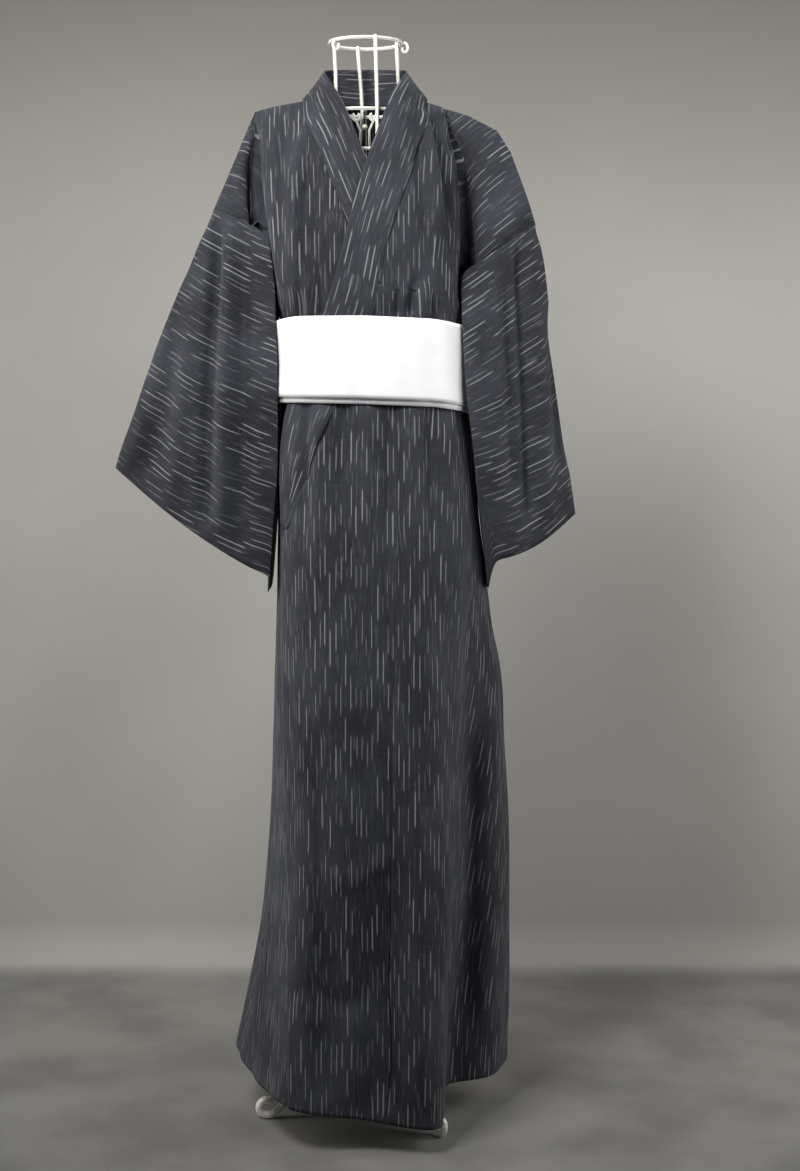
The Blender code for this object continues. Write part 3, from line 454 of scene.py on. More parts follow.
def shoulder_row(side, psi, front, spread):
    """A row of a body panel above the chest: across the robe, then out over the shoulder."""
    half = between(ARM_SIDE[side], risen(RIDGE[side][-1][1], psi))
    if front:
        x_in = front_inner(side, risen(RIDGE_TOP, psi))
    else:
        x_in = side * NECK_HALF * eased((psi - NECK_LOW) / (math.pi / 2 - NECK_LOW))
        x_in = side * max(abs(x_in), GAP)
    made = []
    for x in np.linspace(x_in, side * half * 0.996, 40):
        z = risen(ridge_height(side, x), psi)
        y = chest_depth(side, x, z, front)
        if front:
            y += covered(side, x) * max(math.cos(psi), 0.0) ** 0.3
        made.append((x, y, z))
    made = np.array(made)
    return read_line(made, np.array(spread) * distances(made)[-1])


def fold_point(side, along):
    """A point (x, z) of the shoulder and sleeve fold, a distance along it."""
    return read_line(np.array(FOLD[side], float), along)


def sleeve_row(side, share):
    return [between(SLEEVE[side], share, column) for column in range(1, 7)]


def sleeve_side(side, share, e, front):
    """A point of the sleeve's front or back wall: e is 0 at the top fold and 1 at the turn."""
    turn_x, turn_z, _, _, fore, aft = sleeve_row(side, share)
    start = ARMHOLE[side]
    x0, z0 = fold_point(side, start + (distances(FOLD[side])[-1] - start) * share)
    sag = -0.012 * share * math.sin(math.pi * e)
    bulge = math.sin(math.pi / 2 * e) ** 0.75
    y = -fore * bulge if front else aft * bulge
    return np.array([x0 + (turn_x - x0) * e, y, z0 + (turn_z - z0) * e + sag])


def armhole_foot(side):
    """The height of the foot of the armhole seam."""
    return sleeve_row(side, 0.0)[1]


def armhole_psi(side):
    """The row of the shoulder that comes down to the foot of the armhole seam."""
    return math.asin((armhole_foot(side) - SHOULDER_BASE) / (RIDGE[side][-1][1] - SHOULDER_BASE))


def lip_step(before, last):
    """A short step on past the last point of a row."""
    return (last - before) / max(np.linalg.norm(last - before), 1e-9) * LIP


def cap_row(side, psi, front, last, before):
    """The columns past the shoulder's valley, out to the armhole seam; below the armhole
    they only carry the panel on round the side."""
    low = armhole_psi(side)
    if psi <= low:
        return [last + lip_step(before, last) * (i + 1) for i in range(CAP_COLUMNS)]
    down = (math.pi / 2 - psi) / (math.pi / 2 - low)
    start, stop = fold_point(side, 0.0), fold_point(side, ARMHOLE[side])
    seam = sleeve_side(side, 0.0, FOLD_GAP + (1.0 - FOLD_GAP) * down, front)
    if down < 1e-6:
        seam = np.array([stop[0], 0.0, stop[1]])
    made = []
    for i in range(1, CAP_COLUMNS + 1):
        c = i / CAP_COLUMNS
        bow = fold_point(side, ARMHOLE[side] * c) - (start + (stop - start) * c)
        made.append(last + (seam - last) * c + (1.0 - down) * np.array([bow[0], 0.0, bow[1]]))
    return made


def station_shares():
    """The share a of each hem station on its own half, as the ring() halves measure it."""
    left_half, right_half = ring(FLOOR_LEVEL)
    return [
        nearest_point(left_half if row[1] >= 0 else right_half, spot) / HALF_STEPS
        for row, spot in zip(HEM_STATIONS, hem_spots(FLOOR_LEVEL), strict=True)
    ]


def front_shares(side, z):
    """The columns of a front panel, as shares from its okumi seam to its side seam."""
    side_share = between(SIDE_SHARE[side], z)
    seam = share_at(z, front_inner(side, z), side)
    if side < 0:
        return list(np.linspace(side_share, seam, 12))[::-1]
    valley, ridge = station_shares()[4:6]
    shares = [side_share, (side_share + valley) / 2, valley - 0.012, valley + 0.03]
    shares += [valley + (ridge - valley) * t for t in (0.45, 0.75, 0.93)]
    shares += [ridge + 0.012, (ridge + 0.012 + seam) / 2, seam]
    return shares[::-1]


def back_shares(side, z):
    return list(np.linspace(0.0, between(SIDE_SHARE[side], z), 10 if side > 0 else 12))


def offset_plan(z, a, out):
    """The point at share a of the section, moved outward."""
    p = on_ring(z, a)
    along = on_ring(z, a + 0.006) - on_ring(z, a - 0.006)
    outward = np.array([-along[1], along[0]]) / max(np.linalg.norm(along), 1e-9)
    return p + out * outward


def level_row(side, shares, z, out):
    return np.array([(*offset_plan(z, side * a, out(side * a)), z) for a in shares])


def skirt_row(side, shares_of, drop, out):
    """A row of the skirt: drop is 0 at the waist and 1 at the hem."""
    made = []
    for a in shares_of(side, WAIST + (HEM_LEVEL - WAIST) * drop):
        z = WAIST + (hem_height(side * a) - WAIST) * drop
        made.append((*offset_plan(z, side * a, out(side * a)), z))
    return np.array(made)


def right_lift(a):
    """The right panels lie one layer in where the left ones cover them."""
    return -UNDER * eased((abs(a) - 0.36) / 0.16)


def no_lift(_):
    return 0.0


def lip(row):
    """A level row carried on a little past its side edge, to match the shoulder's columns."""
    step = lip_step(row[-2], row[-1])
    return np.vstack([row[:-1], row[-1] - 3 * step, row[-1] - 2 * step, row[-1] - step, row[-1]])


def body_panel(side):
    """One body panel, cut in one length from the front hem over the shoulder to the back hem."""
    out = right_lift if side < 0 else no_lift
    foot = armhole_psi(side)
    psis = [foot * 0.35, foot * 0.70, foot - 0.02]
    psis += list(np.linspace(foot + 1e-4, NECK_LOW, SHOULDER_ROWS))
    psis += [(NECK_LOW + math.pi / 2) / 2, math.pi / 2]
    faces = []
    for front, shares_of in ((True, front_shares), (False, back_shares)):
        rows = []
        for drop in np.linspace(1.0, 0.0, SKIRT_ROWS):
            rows.append(lip(skirt_row(side, shares_of, drop, out)))
        for z in np.linspace(WAIST, SHOULDER_BASE, CHEST_ROWS)[1:]:
            rows.append(lip(level_row(side, shares_of(side, z), z, out)))
        top = level_row(side, shares_of(side, SHOULDER_BASE), SHOULDER_BASE, out)
        spread = distances(top) / distances(top)[-1]
        for psi in psis:
            row = shoulder_row(side, psi, front, spread)
            rows.append(np.vstack([row, cap_row(side, psi, front, row[-1], row[-2])]))
        faces.append(rows)
    return np.array(faces[0] + faces[1][::-1][1:])


def okumi_shares(side, z):
    """The columns of an okumi, as shares from its seam to its free edge."""
    seam = share_at(z, front_inner(side, z), side)
    edge = share_at(z, okumi_inner(side, z), side)
    steps = 1.0 - (1.0 - np.linspace(0.0, 1.0, OKUMI_COLUMNS)) ** 1.5
    return seam + steps * max(edge - seam, 0.004)


def okumi_tip(side, lift):
    """The narrow top of an okumi, between the collar's seam and the front panel."""
    next_z = risen(RIDGE_TOP, armhole_psi(side) * 0.35)
    share = (OKUMI_TOP - SHOULDER_BASE) / (next_z - SHOULDER_BASE)
    seam = between(OKUMI_SEAM[side], SHOULDER_BASE)
    seam += (front_inner(side, next_z) - seam) * share - side * LIP
    xs = np.linspace(seam, okumi_inner(side, OKUMI_TOP), OKUMI_COLUMNS)
    return np.array([(x, chest_depth(side, x, OKUMI_TOP) - lift, OKUMI_TOP) for x in xs])


def okumi_panel(side):
    """The narrow panel between a front and its collar, from its point on the chest to the hem."""
    lift = 0.0 if side > 0 else -UNDER
    rows = [okumi_tip(side, lift)]
    for z in np.linspace(SHOULDER_BASE, WAIST, CHEST_ROWS)[:-1]:
        rows.append(level_row(side, okumi_shares(side, z), z, lambda _: lift))
    for drop in np.linspace(0.0, 1.0, SKIRT_ROWS):
        rows.append(skirt_row(side, okumi_shares, drop, lambda _: lift))
    return np.array(rows)


# ---- collar, sleeves, obi
def front_spot(x, z, lift, side, stand):
    """A point of the collar on a front, out by a lift."""
    if z > SHOULDER_BASE:
        inward = lift * max(1.0 - ((z - SHOULDER_BASE) / (COLLAR_TOP - SHOULDER_BASE)) ** 6, 0.0)
        return (x, chest_depth(side, x, z, True, stand) - inward, z)
    return (*offset_plan(z, side * share_at(z, x, side), lift), z)


def collar_rows(side, lift):
    """The collar's cross lines on one front, each as points from the seam to the free edge."""
    rows = []
    for seam_x, seam_z, free_x, free_z in COLLAR_LEG[side]:
        stand = COLLAR_STAND * float(eased((free_z - 1.37) / 0.09))
        row = []
        for share in COLLAR_ACROSS:
            x = seam_x + (free_x - seam_x) * share
            z = seam_z + (free_z - seam_z) * share
            row.append(front_spot(x, z, lift, side, stand * share))
        rows.append(np.array(row))
    return rows


def neck_rows():
    """The collar's cross lines round the back of the neck, from the right side to the left."""
    rows = []
    for row in COLLAR_NECK:
        seam, free = np.array(row[:3]), np.array(row[3:])
        rows.append(np.array([seam + (free - seam) * share for share in COLLAR_ACROSS]))
    flip = np.array([-1.0, 1.0, 1.0])
    return [row * flip for row in rows[1:]][::-1] + rows


def collar_band():
    """The collar: one band from the right front's end, round the neck, to the left's."""
    lines = np.array(collar_rows(-1, -UNDER)[::-1] + neck_rows() + collar_rows(1, 0.0))
    smooth = smooth_line(lines.reshape(len(lines), -1), COLLAR_STEPS)
    return smooth.reshape(COLLAR_STEPS, len(COLLAR_ACROSS), 3)


def sleeve(side):
    """A sleeve: a bag hung from its top fold, open at the armhole and at the cuff."""
    rows = []
    for share in (0.0, 0.03, 0.07, 0.125, 0.25, 0.375, 0.5, 0.625, 0.75, 0.875, 1.0):
        _, _, side_x, side_z, fore, aft = sleeve_row(side, share)
        front = [sleeve_side(side, share, e, True) for e in np.linspace(FOLD_GAP, 1.0, 8)]
        back = [sleeve_side(side, share, e, False) for e in np.linspace(1.0, FOLD_GAP, 8)]
        inner = [np.array([side_x, y, side_z]) for y in (-0.4 * fore, 0.0, 0.4 * aft)]
        rows.append(front + inner + back)
    return np.array(rows)


def obi_wrap(out, lift, start):
    """One turn of the obi, begun at a share of the way round."""
    rows = []
    for edge in (0.0, 0.5, 1.0):
        row = []
        for share in np.linspace(start, start + OBI_TURN, 41):
            a = (share + 1.0) % 2.0 - 1.0
            top, bottom = between(OBI_EDGES, a, 1) + lift, between(OBI_EDGES, a, 2) + lift
            z = bottom + (top - bottom) * edge
            row.append((*offset_plan(z, a, out), z))
        rows.append(row)
    return np.array(rows)


# ---- finer cloth
def slopes(t, values):
    """Slopes at the points of a curve, by a parabola through each point and its neighbours,
    kept under STEEPEST of the gentler side so that the curve doesn't swing past a point."""
    shape = (-1, *[1] * (values.ndim - 1))
    steps = np.diff(t).reshape(shape)
    rates = np.diff(values, axis=0) / steps
    made = np.empty_like(values)
    made[0], made[-1] = rates[0], rates[-1]
    before, after = steps[:-1], steps[1:]
    made[1:-1] = (after * rates[:-1] + before * rates[1:]) / (before + after)
    least = np.minimum(np.abs(rates[:-1]), np.abs(rates[1:]))
    most = least * np.where(rates[:-1] * rates[1:] > 0, STEEPEST, 1.0)
    made[1:-1] = np.clip(made[1:-1], -most, most)
    return made


def threaded(t, values, wanted):
    """A smooth curve through values at t, read at wanted."""
    m = slopes(t, values)
    index = np.clip(np.searchsorted(t, wanted, side="right") - 1, 0, len(t) - 2)
    width = t[index + 1] - t[index]
    shape = (-1, *[1] * (values.ndim - 1))
    s, width = ((wanted - t[index]) / width).reshape(shape), width.reshape(shape)
    a, b = values[index], values[index + 1]
    ma, mb = m[index] * width, m[index + 1] * width
    return ((2 * s**3 - 3 * s**2 + 1) * a + (s**3 - 2 * s**2 + s) * ma
            + (3 * s**2 - 2 * s**3) * b + (s**3 - s**2) * mb)


def measure(grid, axis):
    """The mean distance along an axis of a grid, from its first line."""
    steps = np.linalg.norm(np.diff(grid, axis=axis), axis=2).mean(axis=1 - axis)
    return np.concatenate([[0.0], np.cumsum(np.maximum(steps, 2e-4))])


def finer(grid, along_step, across_step, closed=False):
    """The grid redrawn with even small steps, as a smooth sheet through the same points. It
    also says which of the new columns lie among the last CAP_COLUMNS of the old ones."""
    if closed:
        grid = np.concatenate([grid[:, -3:], grid, grid[:, :4]], axis=1)
    t = measure(grid, 0)
    rows = max(int(t[-1] / along_step), 2)
    grid = threaded(t, grid, np.linspace(0.0, t[-1], rows + 1))
    t = measure(grid, 1)
    low, high = (t[3], t[-4]) if closed else (0.0, t[-1])
    columns = max(int((high - low) / across_step), 2)
    wanted = np.linspace(low, high, columns + 1)[: -1 if closed else None]
    made = threaded(t, grid.transpose(1, 0, 2), wanted).transpose(1, 0, 2)
    return made, wanted >= t[-1 - CAP_COLUMNS] - 1e-6


def outward_normals(grid, closed=False):
    """A unit normal at each point of a grid of rows and columns, on its outer side."""
    if closed:
        across = np.roll(grid, -1, axis=1) - np.roll(grid, 1, axis=1)
        middle = grid.mean(axis=1, keepdims=True)
    else:
        across = np.gradient(grid, axis=1)
        middle = grid * np.array([0.0, 0.0, 1.0])
    normals = np.cross(np.gradient(grid, axis=0), across)
    normals = normals / np.maximum(np.linalg.norm(normals, axis=2, keepdims=True), 1e-9)
    return -normals if (normals * (grid - middle)).sum() < 0 else normals


def new_object(name, data):
    made = bpy.data.objects.new(name, data)
    bpy.context.scene.collection.objects.link(made)
    return made


def cloth(name, grid, u, v, kind, thickness, closed=False, turned_cut=None):
    """A thin sheet from a grid of points, with its flat cut's metres as texture coordinates.
    turned_cut holds the points, u and v of a part whose warp runs another way."""
    rows, columns = grid.shape[:2]
    points = grid.reshape(-1, 3) + np.array([CENTRE[0], CENTRE[1], 0.0])
    across = np.arange(columns if closed else columns - 1)
    i, j = np.meshgrid(np.arange(rows - 1), across, indexing="ij")
    k = (j + 1) % columns
    below, above = i * columns, (i + 1) * columns
    quads = np.stack([below + j, below + k, above + k, above + j], axis=2).reshape(-1, 4)
    corner, right, _, up = (points[quads[:, n]] for n in range(4))
    want = outward_normals(grid, closed).reshape(-1, 3)[quads[:, 0]]
    cut = np.stack([u, v], axis=-1).reshape(-1, 2)[quads]
    if turned_cut:
        late, late_u, late_v = turned_cut
        both = late.reshape(-1)[quads].all(axis=1)
        cut[both] = np.stack([late_u, late_v], axis=-1).reshape(-1, 2)[quads[both]]
    if closed:
        last = j.reshape(-1) == columns - 1
        cut[last, 1:3] = cut[last][:, [0, 3]] + (0.0, 0.004)
    if (np.cross(right - corner, up - corner) * want).sum() < 0:
        quads, cut = quads[:, ::-1], cut[:, ::-1]
    mesh = bpy.data.meshes.new(name)
    mesh.from_pydata(points.tolist(), [], quads.tolist())
    layer = mesh.uv_layers.new(name="cut")
    layer.data.foreach_set("uv", cut.reshape(-1).astype(np.float32))
    mesh.materials.append(MATERIALS[kind])
    mesh.shade_smooth()
    made = new_object(name, mesh)
    shell = made.modifiers.new("thickness", "SOLIDIFY")
    shell.thickness = thickness
    shell.offset = -1.0
    shell.use_even_offset = False
    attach(made, "root")
    return made


# ---- folds and creases
# Each fold: its depth (tenths of a mm), half width (mm), lean, how soon it fades in and out
# along its length, then the x and z (mm) of each point of its line. Ridges are over 0 and
# troughs under 0.
FRONT_FOLDS = (
    # from the left shoulder's point, curving down the chest beside the sleeve
    (-60, 8, 0, 0.2, 0.1, 120, 1464, 139, 1420, 146, 1360, 148, 1300, 143, 1205),
    (-50, 10, 0.3, 0.15, 0.35, 98, 1478, 108, 1430, 118, 1370, 121, 1310),
    (45, 11, 0, 0.15, 0.4, 80, 1480, 94, 1420, 101, 1350, 103, 1270),
    (-30, 9, -0.2, 0.2, 0.4, 74, 1440, 84, 1370, 90, 1300, 91, 1225),
    # from the right shoulder down beside the collar
    (-65, 9, 0, 0.2, 0.1, -161, 1470, -162, 1420, -159, 1360, -151, 1300, -138, 1205),
    (-34, 12, 0.2, 0.2, 0.4, -112, 1470, -118, 1400, -122, 1330, -118, 1240),
    (35, 13, 0, 0.2, 0.4, -94, 1450, -100, 1370, -101, 1290, -96, 1215),
    (-28, 10, 0, 0.25, 0.45, -78, 1400, -82, 1330, -80, 1250, -70, 1195),
    # small tucks where the obi gathers the fronts above it
    (-36, 6, 0.2, 0.6, 0.08, -71, 1262, -66, 1220, -60, 1186),
    (30, 6, 0, 0.6, 0.08, -83, 1250, -80, 1215, -77, 1184),
    (-30, 5, 0, 0.6, 0.08, -96, 1240, -94, 1210, -92, 1180),
    (-34, 6, -0.2, 0.6, 0.08, 75, 1255, 70, 1222, 66, 1186),
    (30, 6, 0, 0.6, 0.08, 87, 1240, 82, 1212, 79, 1184),
    (-28, 5, 0, 0.5, 0.08, 101, 1230, 98, 1208, 95, 1180),
    (-22, 5, 0, 0.5, 0.08, 47, 1232, 46, 1208, 45, 1184),
    # soft hanging folds that start under the obi
    (-34, 10, 0.2, 0.14, 0.75, -83, 1070, -86, 960, -90, 820),
    (30, 12, 0, 0.14, 0.75, -64, 1068, -67, 950, -71, 780),
    (-28, 9, -0.1, 0.14, 0.75, -30, 1066, -32, 960, -34, 860),
    (26, 12, 0, 0.14, 0.75, 4, 1066, 3, 930, 4, 740),
    (-34, 10, 0.1, 0.14, 0.75, 34, 1064, 36, 930, 34, 700),
    (34, 12, 0, 0.14, 0.7, 62, 1064, 66, 920, 66, 640),
    (-40, 11, 0.2, 0.14, 0.7, 90, 1062, 98, 900, 104, 600),
    (32, 11, 0, 0.14, 0.7, 112, 1060, 124, 900, 134, 660),
    # long shallow folds lower on the skirt
    (-40, 16, 0.2, 0.5, 0.1, -70, 640, -66, 420, -60, 80),
    (34, 18, 0, 0.5, 0.1, -20, 600, -16, 380, -10, 70),
    (-46, 15, 0, 0.45, 0.1, 34, 560, 36, 340, 40, 60),
    (30, 14, 0, 0.45, 0.1, 72, 600, 78, 360, 86, 60),
    (-40, 14, 0, 0.4, 0.15, 150, 760, 158, 460, 150, 120),
    # the dents above the hem's front
    (-30, 20, 0, 0.4, 0.4, -100, 250, -40, 215, 30, 235),
    (22, 16, 0, 0.4, 0.4, -80, 420, -20, 395, 60, 430),
)
BACK_FOLDS = (
    (-45, 12, 0.2, 0.2, 0.35, -118, 1455, -120, 1380, -118, 1290, -108, 1200),
    (36, 13, 0, 0.2, 0.4, -92, 1440, -96, 1340, -92, 1230),
    (-42, 11, -0.2, 0.2, 0.35, 100, 1460, 108, 1390, 110, 1300, 102, 1205),
    (34, 12, 0, 0.2, 0.4, 78, 1430, 84, 1330, 82, 1220),
    (-22, 14, 0, 0.3, 0.4, -46, 1420, -12, 1400, 40, 1424),
    (-34, 6, 0, 0.6, 0.08, -62, 1250, -58, 1214, -54, 1180),
    (28, 6, 0, 0.6, 0.08, -78, 1240, -74, 1210, -70, 1178),
    (-26, 5, 0, 0.6, 0.08, -30, 1232, -29, 1206, -27, 1180),
    (-32, 6, 0, 0.6, 0.08, 34, 1246, 36, 1212, 38, 1180),
    (28, 6, 0, 0.6, 0.08, 58, 1240, 58, 1212, 56, 1178),
    (-30, 6, 0, 0.6, 0.08, 80, 1236, 78, 1208, 74, 1178),
    (-40, 12, 0.1, 0.14, 0.6, -86, 1060, -92, 880, -96, 560),
    (36, 14, 0, 0.14, 0.6, -56, 1060, -58, 840, -62, 480),
    (-34, 12, 0, 0.14, 0.65, -22, 1060, -22, 860, -26, 600),
    (30, 14, 0, 0.14, 0.6, 14, 1060, 16, 820, 18, 420),
    (-42, 12, -0.1, 0.14, 0.55, 50, 1060, 54, 820, 60, 360),
    (36, 13, 0, 0.14, 0.6, 84, 1058, 92, 840, 104, 520),
    (-36, 12, 0, 0.14, 0.6, 116, 1056, 130, 860, 146, 560),
    (-50, 18, 0.1, 0.45, 0.1, -120, 560, -126, 330, -130, 110),
    (44, 20, 0, 0.45, 0.1, -60, 520, -60, 300, -64, 100),
    (-52, 18, 0, 0.45, 0.1, 0, 600, 2, 320, 6, 90),
    (44, 20, 0, 0.45, 0.1, 70, 480, 74, 280, 78, 90),
    (-48, 18, 0, 0.45, 0.1, 130, 560, 138, 300, 142, 90),
)
RIGHT_SLEEVE_FOLDS = (
    (-62, 10, 0.4, 0.12, 0.1, -216, 1336, -219, 1240, -227, 1120, -235, 960, -238, 880),
    (45, 13, 0, 0.15, 0.15, -196, 1330, -197, 1210, -203, 1060, -207, 870),
    (-42, 10, 0, 0.2, 0.2, -178, 1290, -177, 1180, -176, 1040, -178, 850),
    (34, 16, 0, 0.3, 0.2, -246, 1250, -258, 1130, -272, 990, -284, 905),
    (-32, 16, 0, 0.35, 0.2, -270, 1170, -294, 1060, -318, 960),
    (26, 14, 0, 0.4, 0.2, -300, 1110, -330, 1020, -352, 962),
)
LEFT_SLEEVE_FOLDS = (
    (-50, 10, 0.3, 0.15, 0.2, 222, 1330, 226, 1220, 232, 1100, 238, 960, 240, 870),
    (42, 12, 0, 0.15, 0.2, 242, 1310, 250, 1190, 258, 1060, 264, 880),
    (-40, 11, 0, 0.2, 0.2, 202, 1280, 204, 1180, 210, 1060, 216, 920),
    (36, 10, 0, 0.2, 0.2, 184, 1260, 186, 1160, 194, 1050),
    (-34, 10, 0, 0.3, 0.2, 266, 1210, 276, 1090, 287, 960),
)


def to_line(x, z, line):
    """The distance of each point from a drawn line, how far along it the foot lies, and the
    distance again with its side as a sign."""
    before = distances(line)
    best = np.full(x.shape, 9.0)
    share, signed = np.zeros(x.shape), np.zeros(x.shape)
    for i in range(len(line) - 1):
        (ax, az), (bx, bz) = line[i], line[i + 1]
        dx, dz = bx - ax, bz - az
        length = np.hypot(dx, dz)
        t = np.clip(((x - ax) * dx + (z - az) * dz) / length**2, 0.0, 1.0)
        ox, oz = x - (ax + dx * t), z - (az + dz * t)
        far = np.hypot(ox, oz)
        near = far < best
        best = np.where(near, far, best)
        share = np.where(near, (before[i] + length * t) / before[-1], share)
        signed = np.where(near, np.sign(dx * oz - dz * ox) * far, signed)
    return best, share, signed


def crease_height(x, z, creases):
    """The sum of the soft ridges and troughs drawn on a face."""
    total = np.zeros(x.shape)
    for depth, width, lean, start, end, *line in creases:
        width = width / 1000
        far, share, signed = to_line(x, z, np.reshape(line, (-1, 2)) / 1000)
        wide = width * (1.0 + lean * np.tanh(signed / width))
        fade = np.clip(share / start, 0, 1) * np.clip((1 - share) / end, 0, 1)
        total += depth / 10000 * np.exp(-((far / wide) ** 2)) * fade * (2 - fade)
    return total


def undulation(x, z, seed):
    """Gentle unevenness of hung cotton, a few long waves of different size and direction."""
    rng = np.random.default_rng(seed)
    total = np.zeros(x.shape)
    for _ in range(WAVES):
        size = WAVE_SIZE * rng.uniform(0.5, 1.6)
        lean = rng.uniform(-0.5, 0.5)
        phase = rng.uniform(0, 2 * math.pi)
        run = x * math.cos(lean) * 1.6 + z * math.sin(lean)
        total += size * np.sin(run * 2 * math.pi / size + phase)
    return total / WAVES / WAVE_SIZE


def folded(grid, front_folds, back_folds, seed, closed=False):
    """The sheet moved along its normals by the folds of the face that each point is on."""
    normals = outward_normals(grid, closed)
    x, y, z = grid[..., 0], grid[..., 1], grid[..., 2]
    facing = np.clip(-normals[..., 1] * 1.5 + 0.5, 0.0, 1.0)
    height = crease_height(x, z, front_folds) * facing
    height += crease_height(x, z, back_folds) * (1.0 - facing)
    height = height * FOLD_SIZE + WAVE_HEIGHT * undulation(x + 2.0 * y, z, seed)
    return grid + normals * height[..., None]


def sunk_edges(grid, first):
    """The sheet's last long edge turned in a little, as at a seam, and with first the other."""
    along = row_distances(grid)
    drop = np.exp(-(along[:, -1:] - along) / SEAM_WIDTH)
    if first:
        drop += np.exp(-along / SEAM_WIDTH)
    return grid - outward_normals(grid) * (SEAM_DEPTH * drop)[..., None]


def flat_across(grid, offset):
    """Distance across the cut, continued from each row's first x so that the warp hangs true."""
    sign = math.copysign(1.0, (grid[:, -1, 0] - grid[:, 0, 0]).mean())
    return grid[:, :1, 0] + sign * row_distances(grid) + offset


def flat_along(grid, offset):
    """Distance along the warp, measured down the sheet's middle."""
    along = distances(grid[:, grid.shape[1] // 2])
    return np.repeat((along + offset)[:, None], grid.shape[1], axis=1)


# ---- materials
class Paint:
    """A material's node tree, with short names for the steps that it is made of."""

    def __init__(self, name, **settings):
        self.material = bpy.data.materials.new(name)
        self.material.use_nodes = True
        self.tree = self.material.node_tree
        self.shader = self.tree.nodes["Principled BSDF"]
        for socket, value in settings.items():
            self.shader.inputs[socket.replace("_", " ")].default_value = value

    def node(self, kind, **values):
        made = self.tree.nodes.new("ShaderNode" + kind)
        for key, value in values.items():
            setattr(made, key, value)
        return made

    def put(self, target, source):
        """Joins a socket to a source, which is a socket, a plain number or a colour."""
        if isinstance(source, tuple):
            target.default_value = (*source, 1.0)
        elif isinstance(source, (int, float)):
            target.default_value = source
        else:
            self.tree.links.new(source, target)

    def calc(self, operation, *sources):
        made = self.node("Math", operation=operation)
        for socket, source in zip(made.inputs, sources, strict=False):
            self.put(socket, source)
        return made.outputs[0]

    def add(self, a, b):
        return self.calc("ADD", a, b)

    def less(self, a, b):
        return self.calc("SUBTRACT", a, b)

    def times(self, a, b):
        return self.calc("MULTIPLY", a, b)

    def times_add(self, a, b, c):
        return self.calc("MULTIPLY_ADD", a, b, c)

    def step(self, value, low, high):
        """0 under low, 1 over high, and smooth between them."""
        made = self.node("MapRange", interpolation_type="SMOOTHSTEP", clamp=True)
        for key, source in (("Value", value), ("From Min", low), ("From Max", high)):
            self.put(made.inputs[key], source)
        return made.outputs["Result"]

    def noise(self, place, scale, detail=2.0, dimensions="3D"):
        made = self.node("TexNoise", noise_dimensions=dimensions)
        self.put(made.inputs["W" if dimensions == "1D" else "Vector"], place)
        made.inputs["Scale"].default_value = scale
        made.inputs["Detail"].default_value = detail
        return made.outputs["Fac"]

    def joined(self, x, y):
        made = self.node("CombineXYZ")
        self.put(made.inputs[0], x)
        self.put(made.inputs[1], y)
        return made.outputs[0]

    def grain(self, across, along, detail=2.0):
        """Noise over the flat cut, with so many grains a metre across the warp and along it."""
        u, v = self.cut
        return self.noise(self.joined(self.times(u, across), self.times(v, along)), 1.0, detail)

    def blended(self, share, a, b):
        """A colour between two."""
        made = self.node("Mix", data_type="RGBA")
        for index, source in ((0, share), (6, a), (7, b)):
            self.put(made.inputs[index], source)
        return made.outputs[2]

    def split(self, source):
        made = self.node("SeparateXYZ")
        self.put(made.inputs[0], source)
        return made.outputs

    def lay_cut(self):
        """The two directions of the flat cut, in metres: across the warp and along it."""
        self.cut = self.split(self.node("UVMap", uv_map="cut").outputs[0])[:2]
        return self.cut

    def finish(self, colour, rough, relief, strength, distance):
        """The shader's colour and roughness, and its surface raised by the relief."""
        bump = self.node("Bump")
        for key, source in (("Strength", strength), ("Distance", distance), ("Height", relief)):
            self.put(bump.inputs[key], source)
        inputs = self.shader.inputs
        self.put(inputs["Base Color"], colour)
        self.put(inputs["Roughness"], rough)
        self.put(inputs["Normal"], bump.outputs[0])
        return self.material


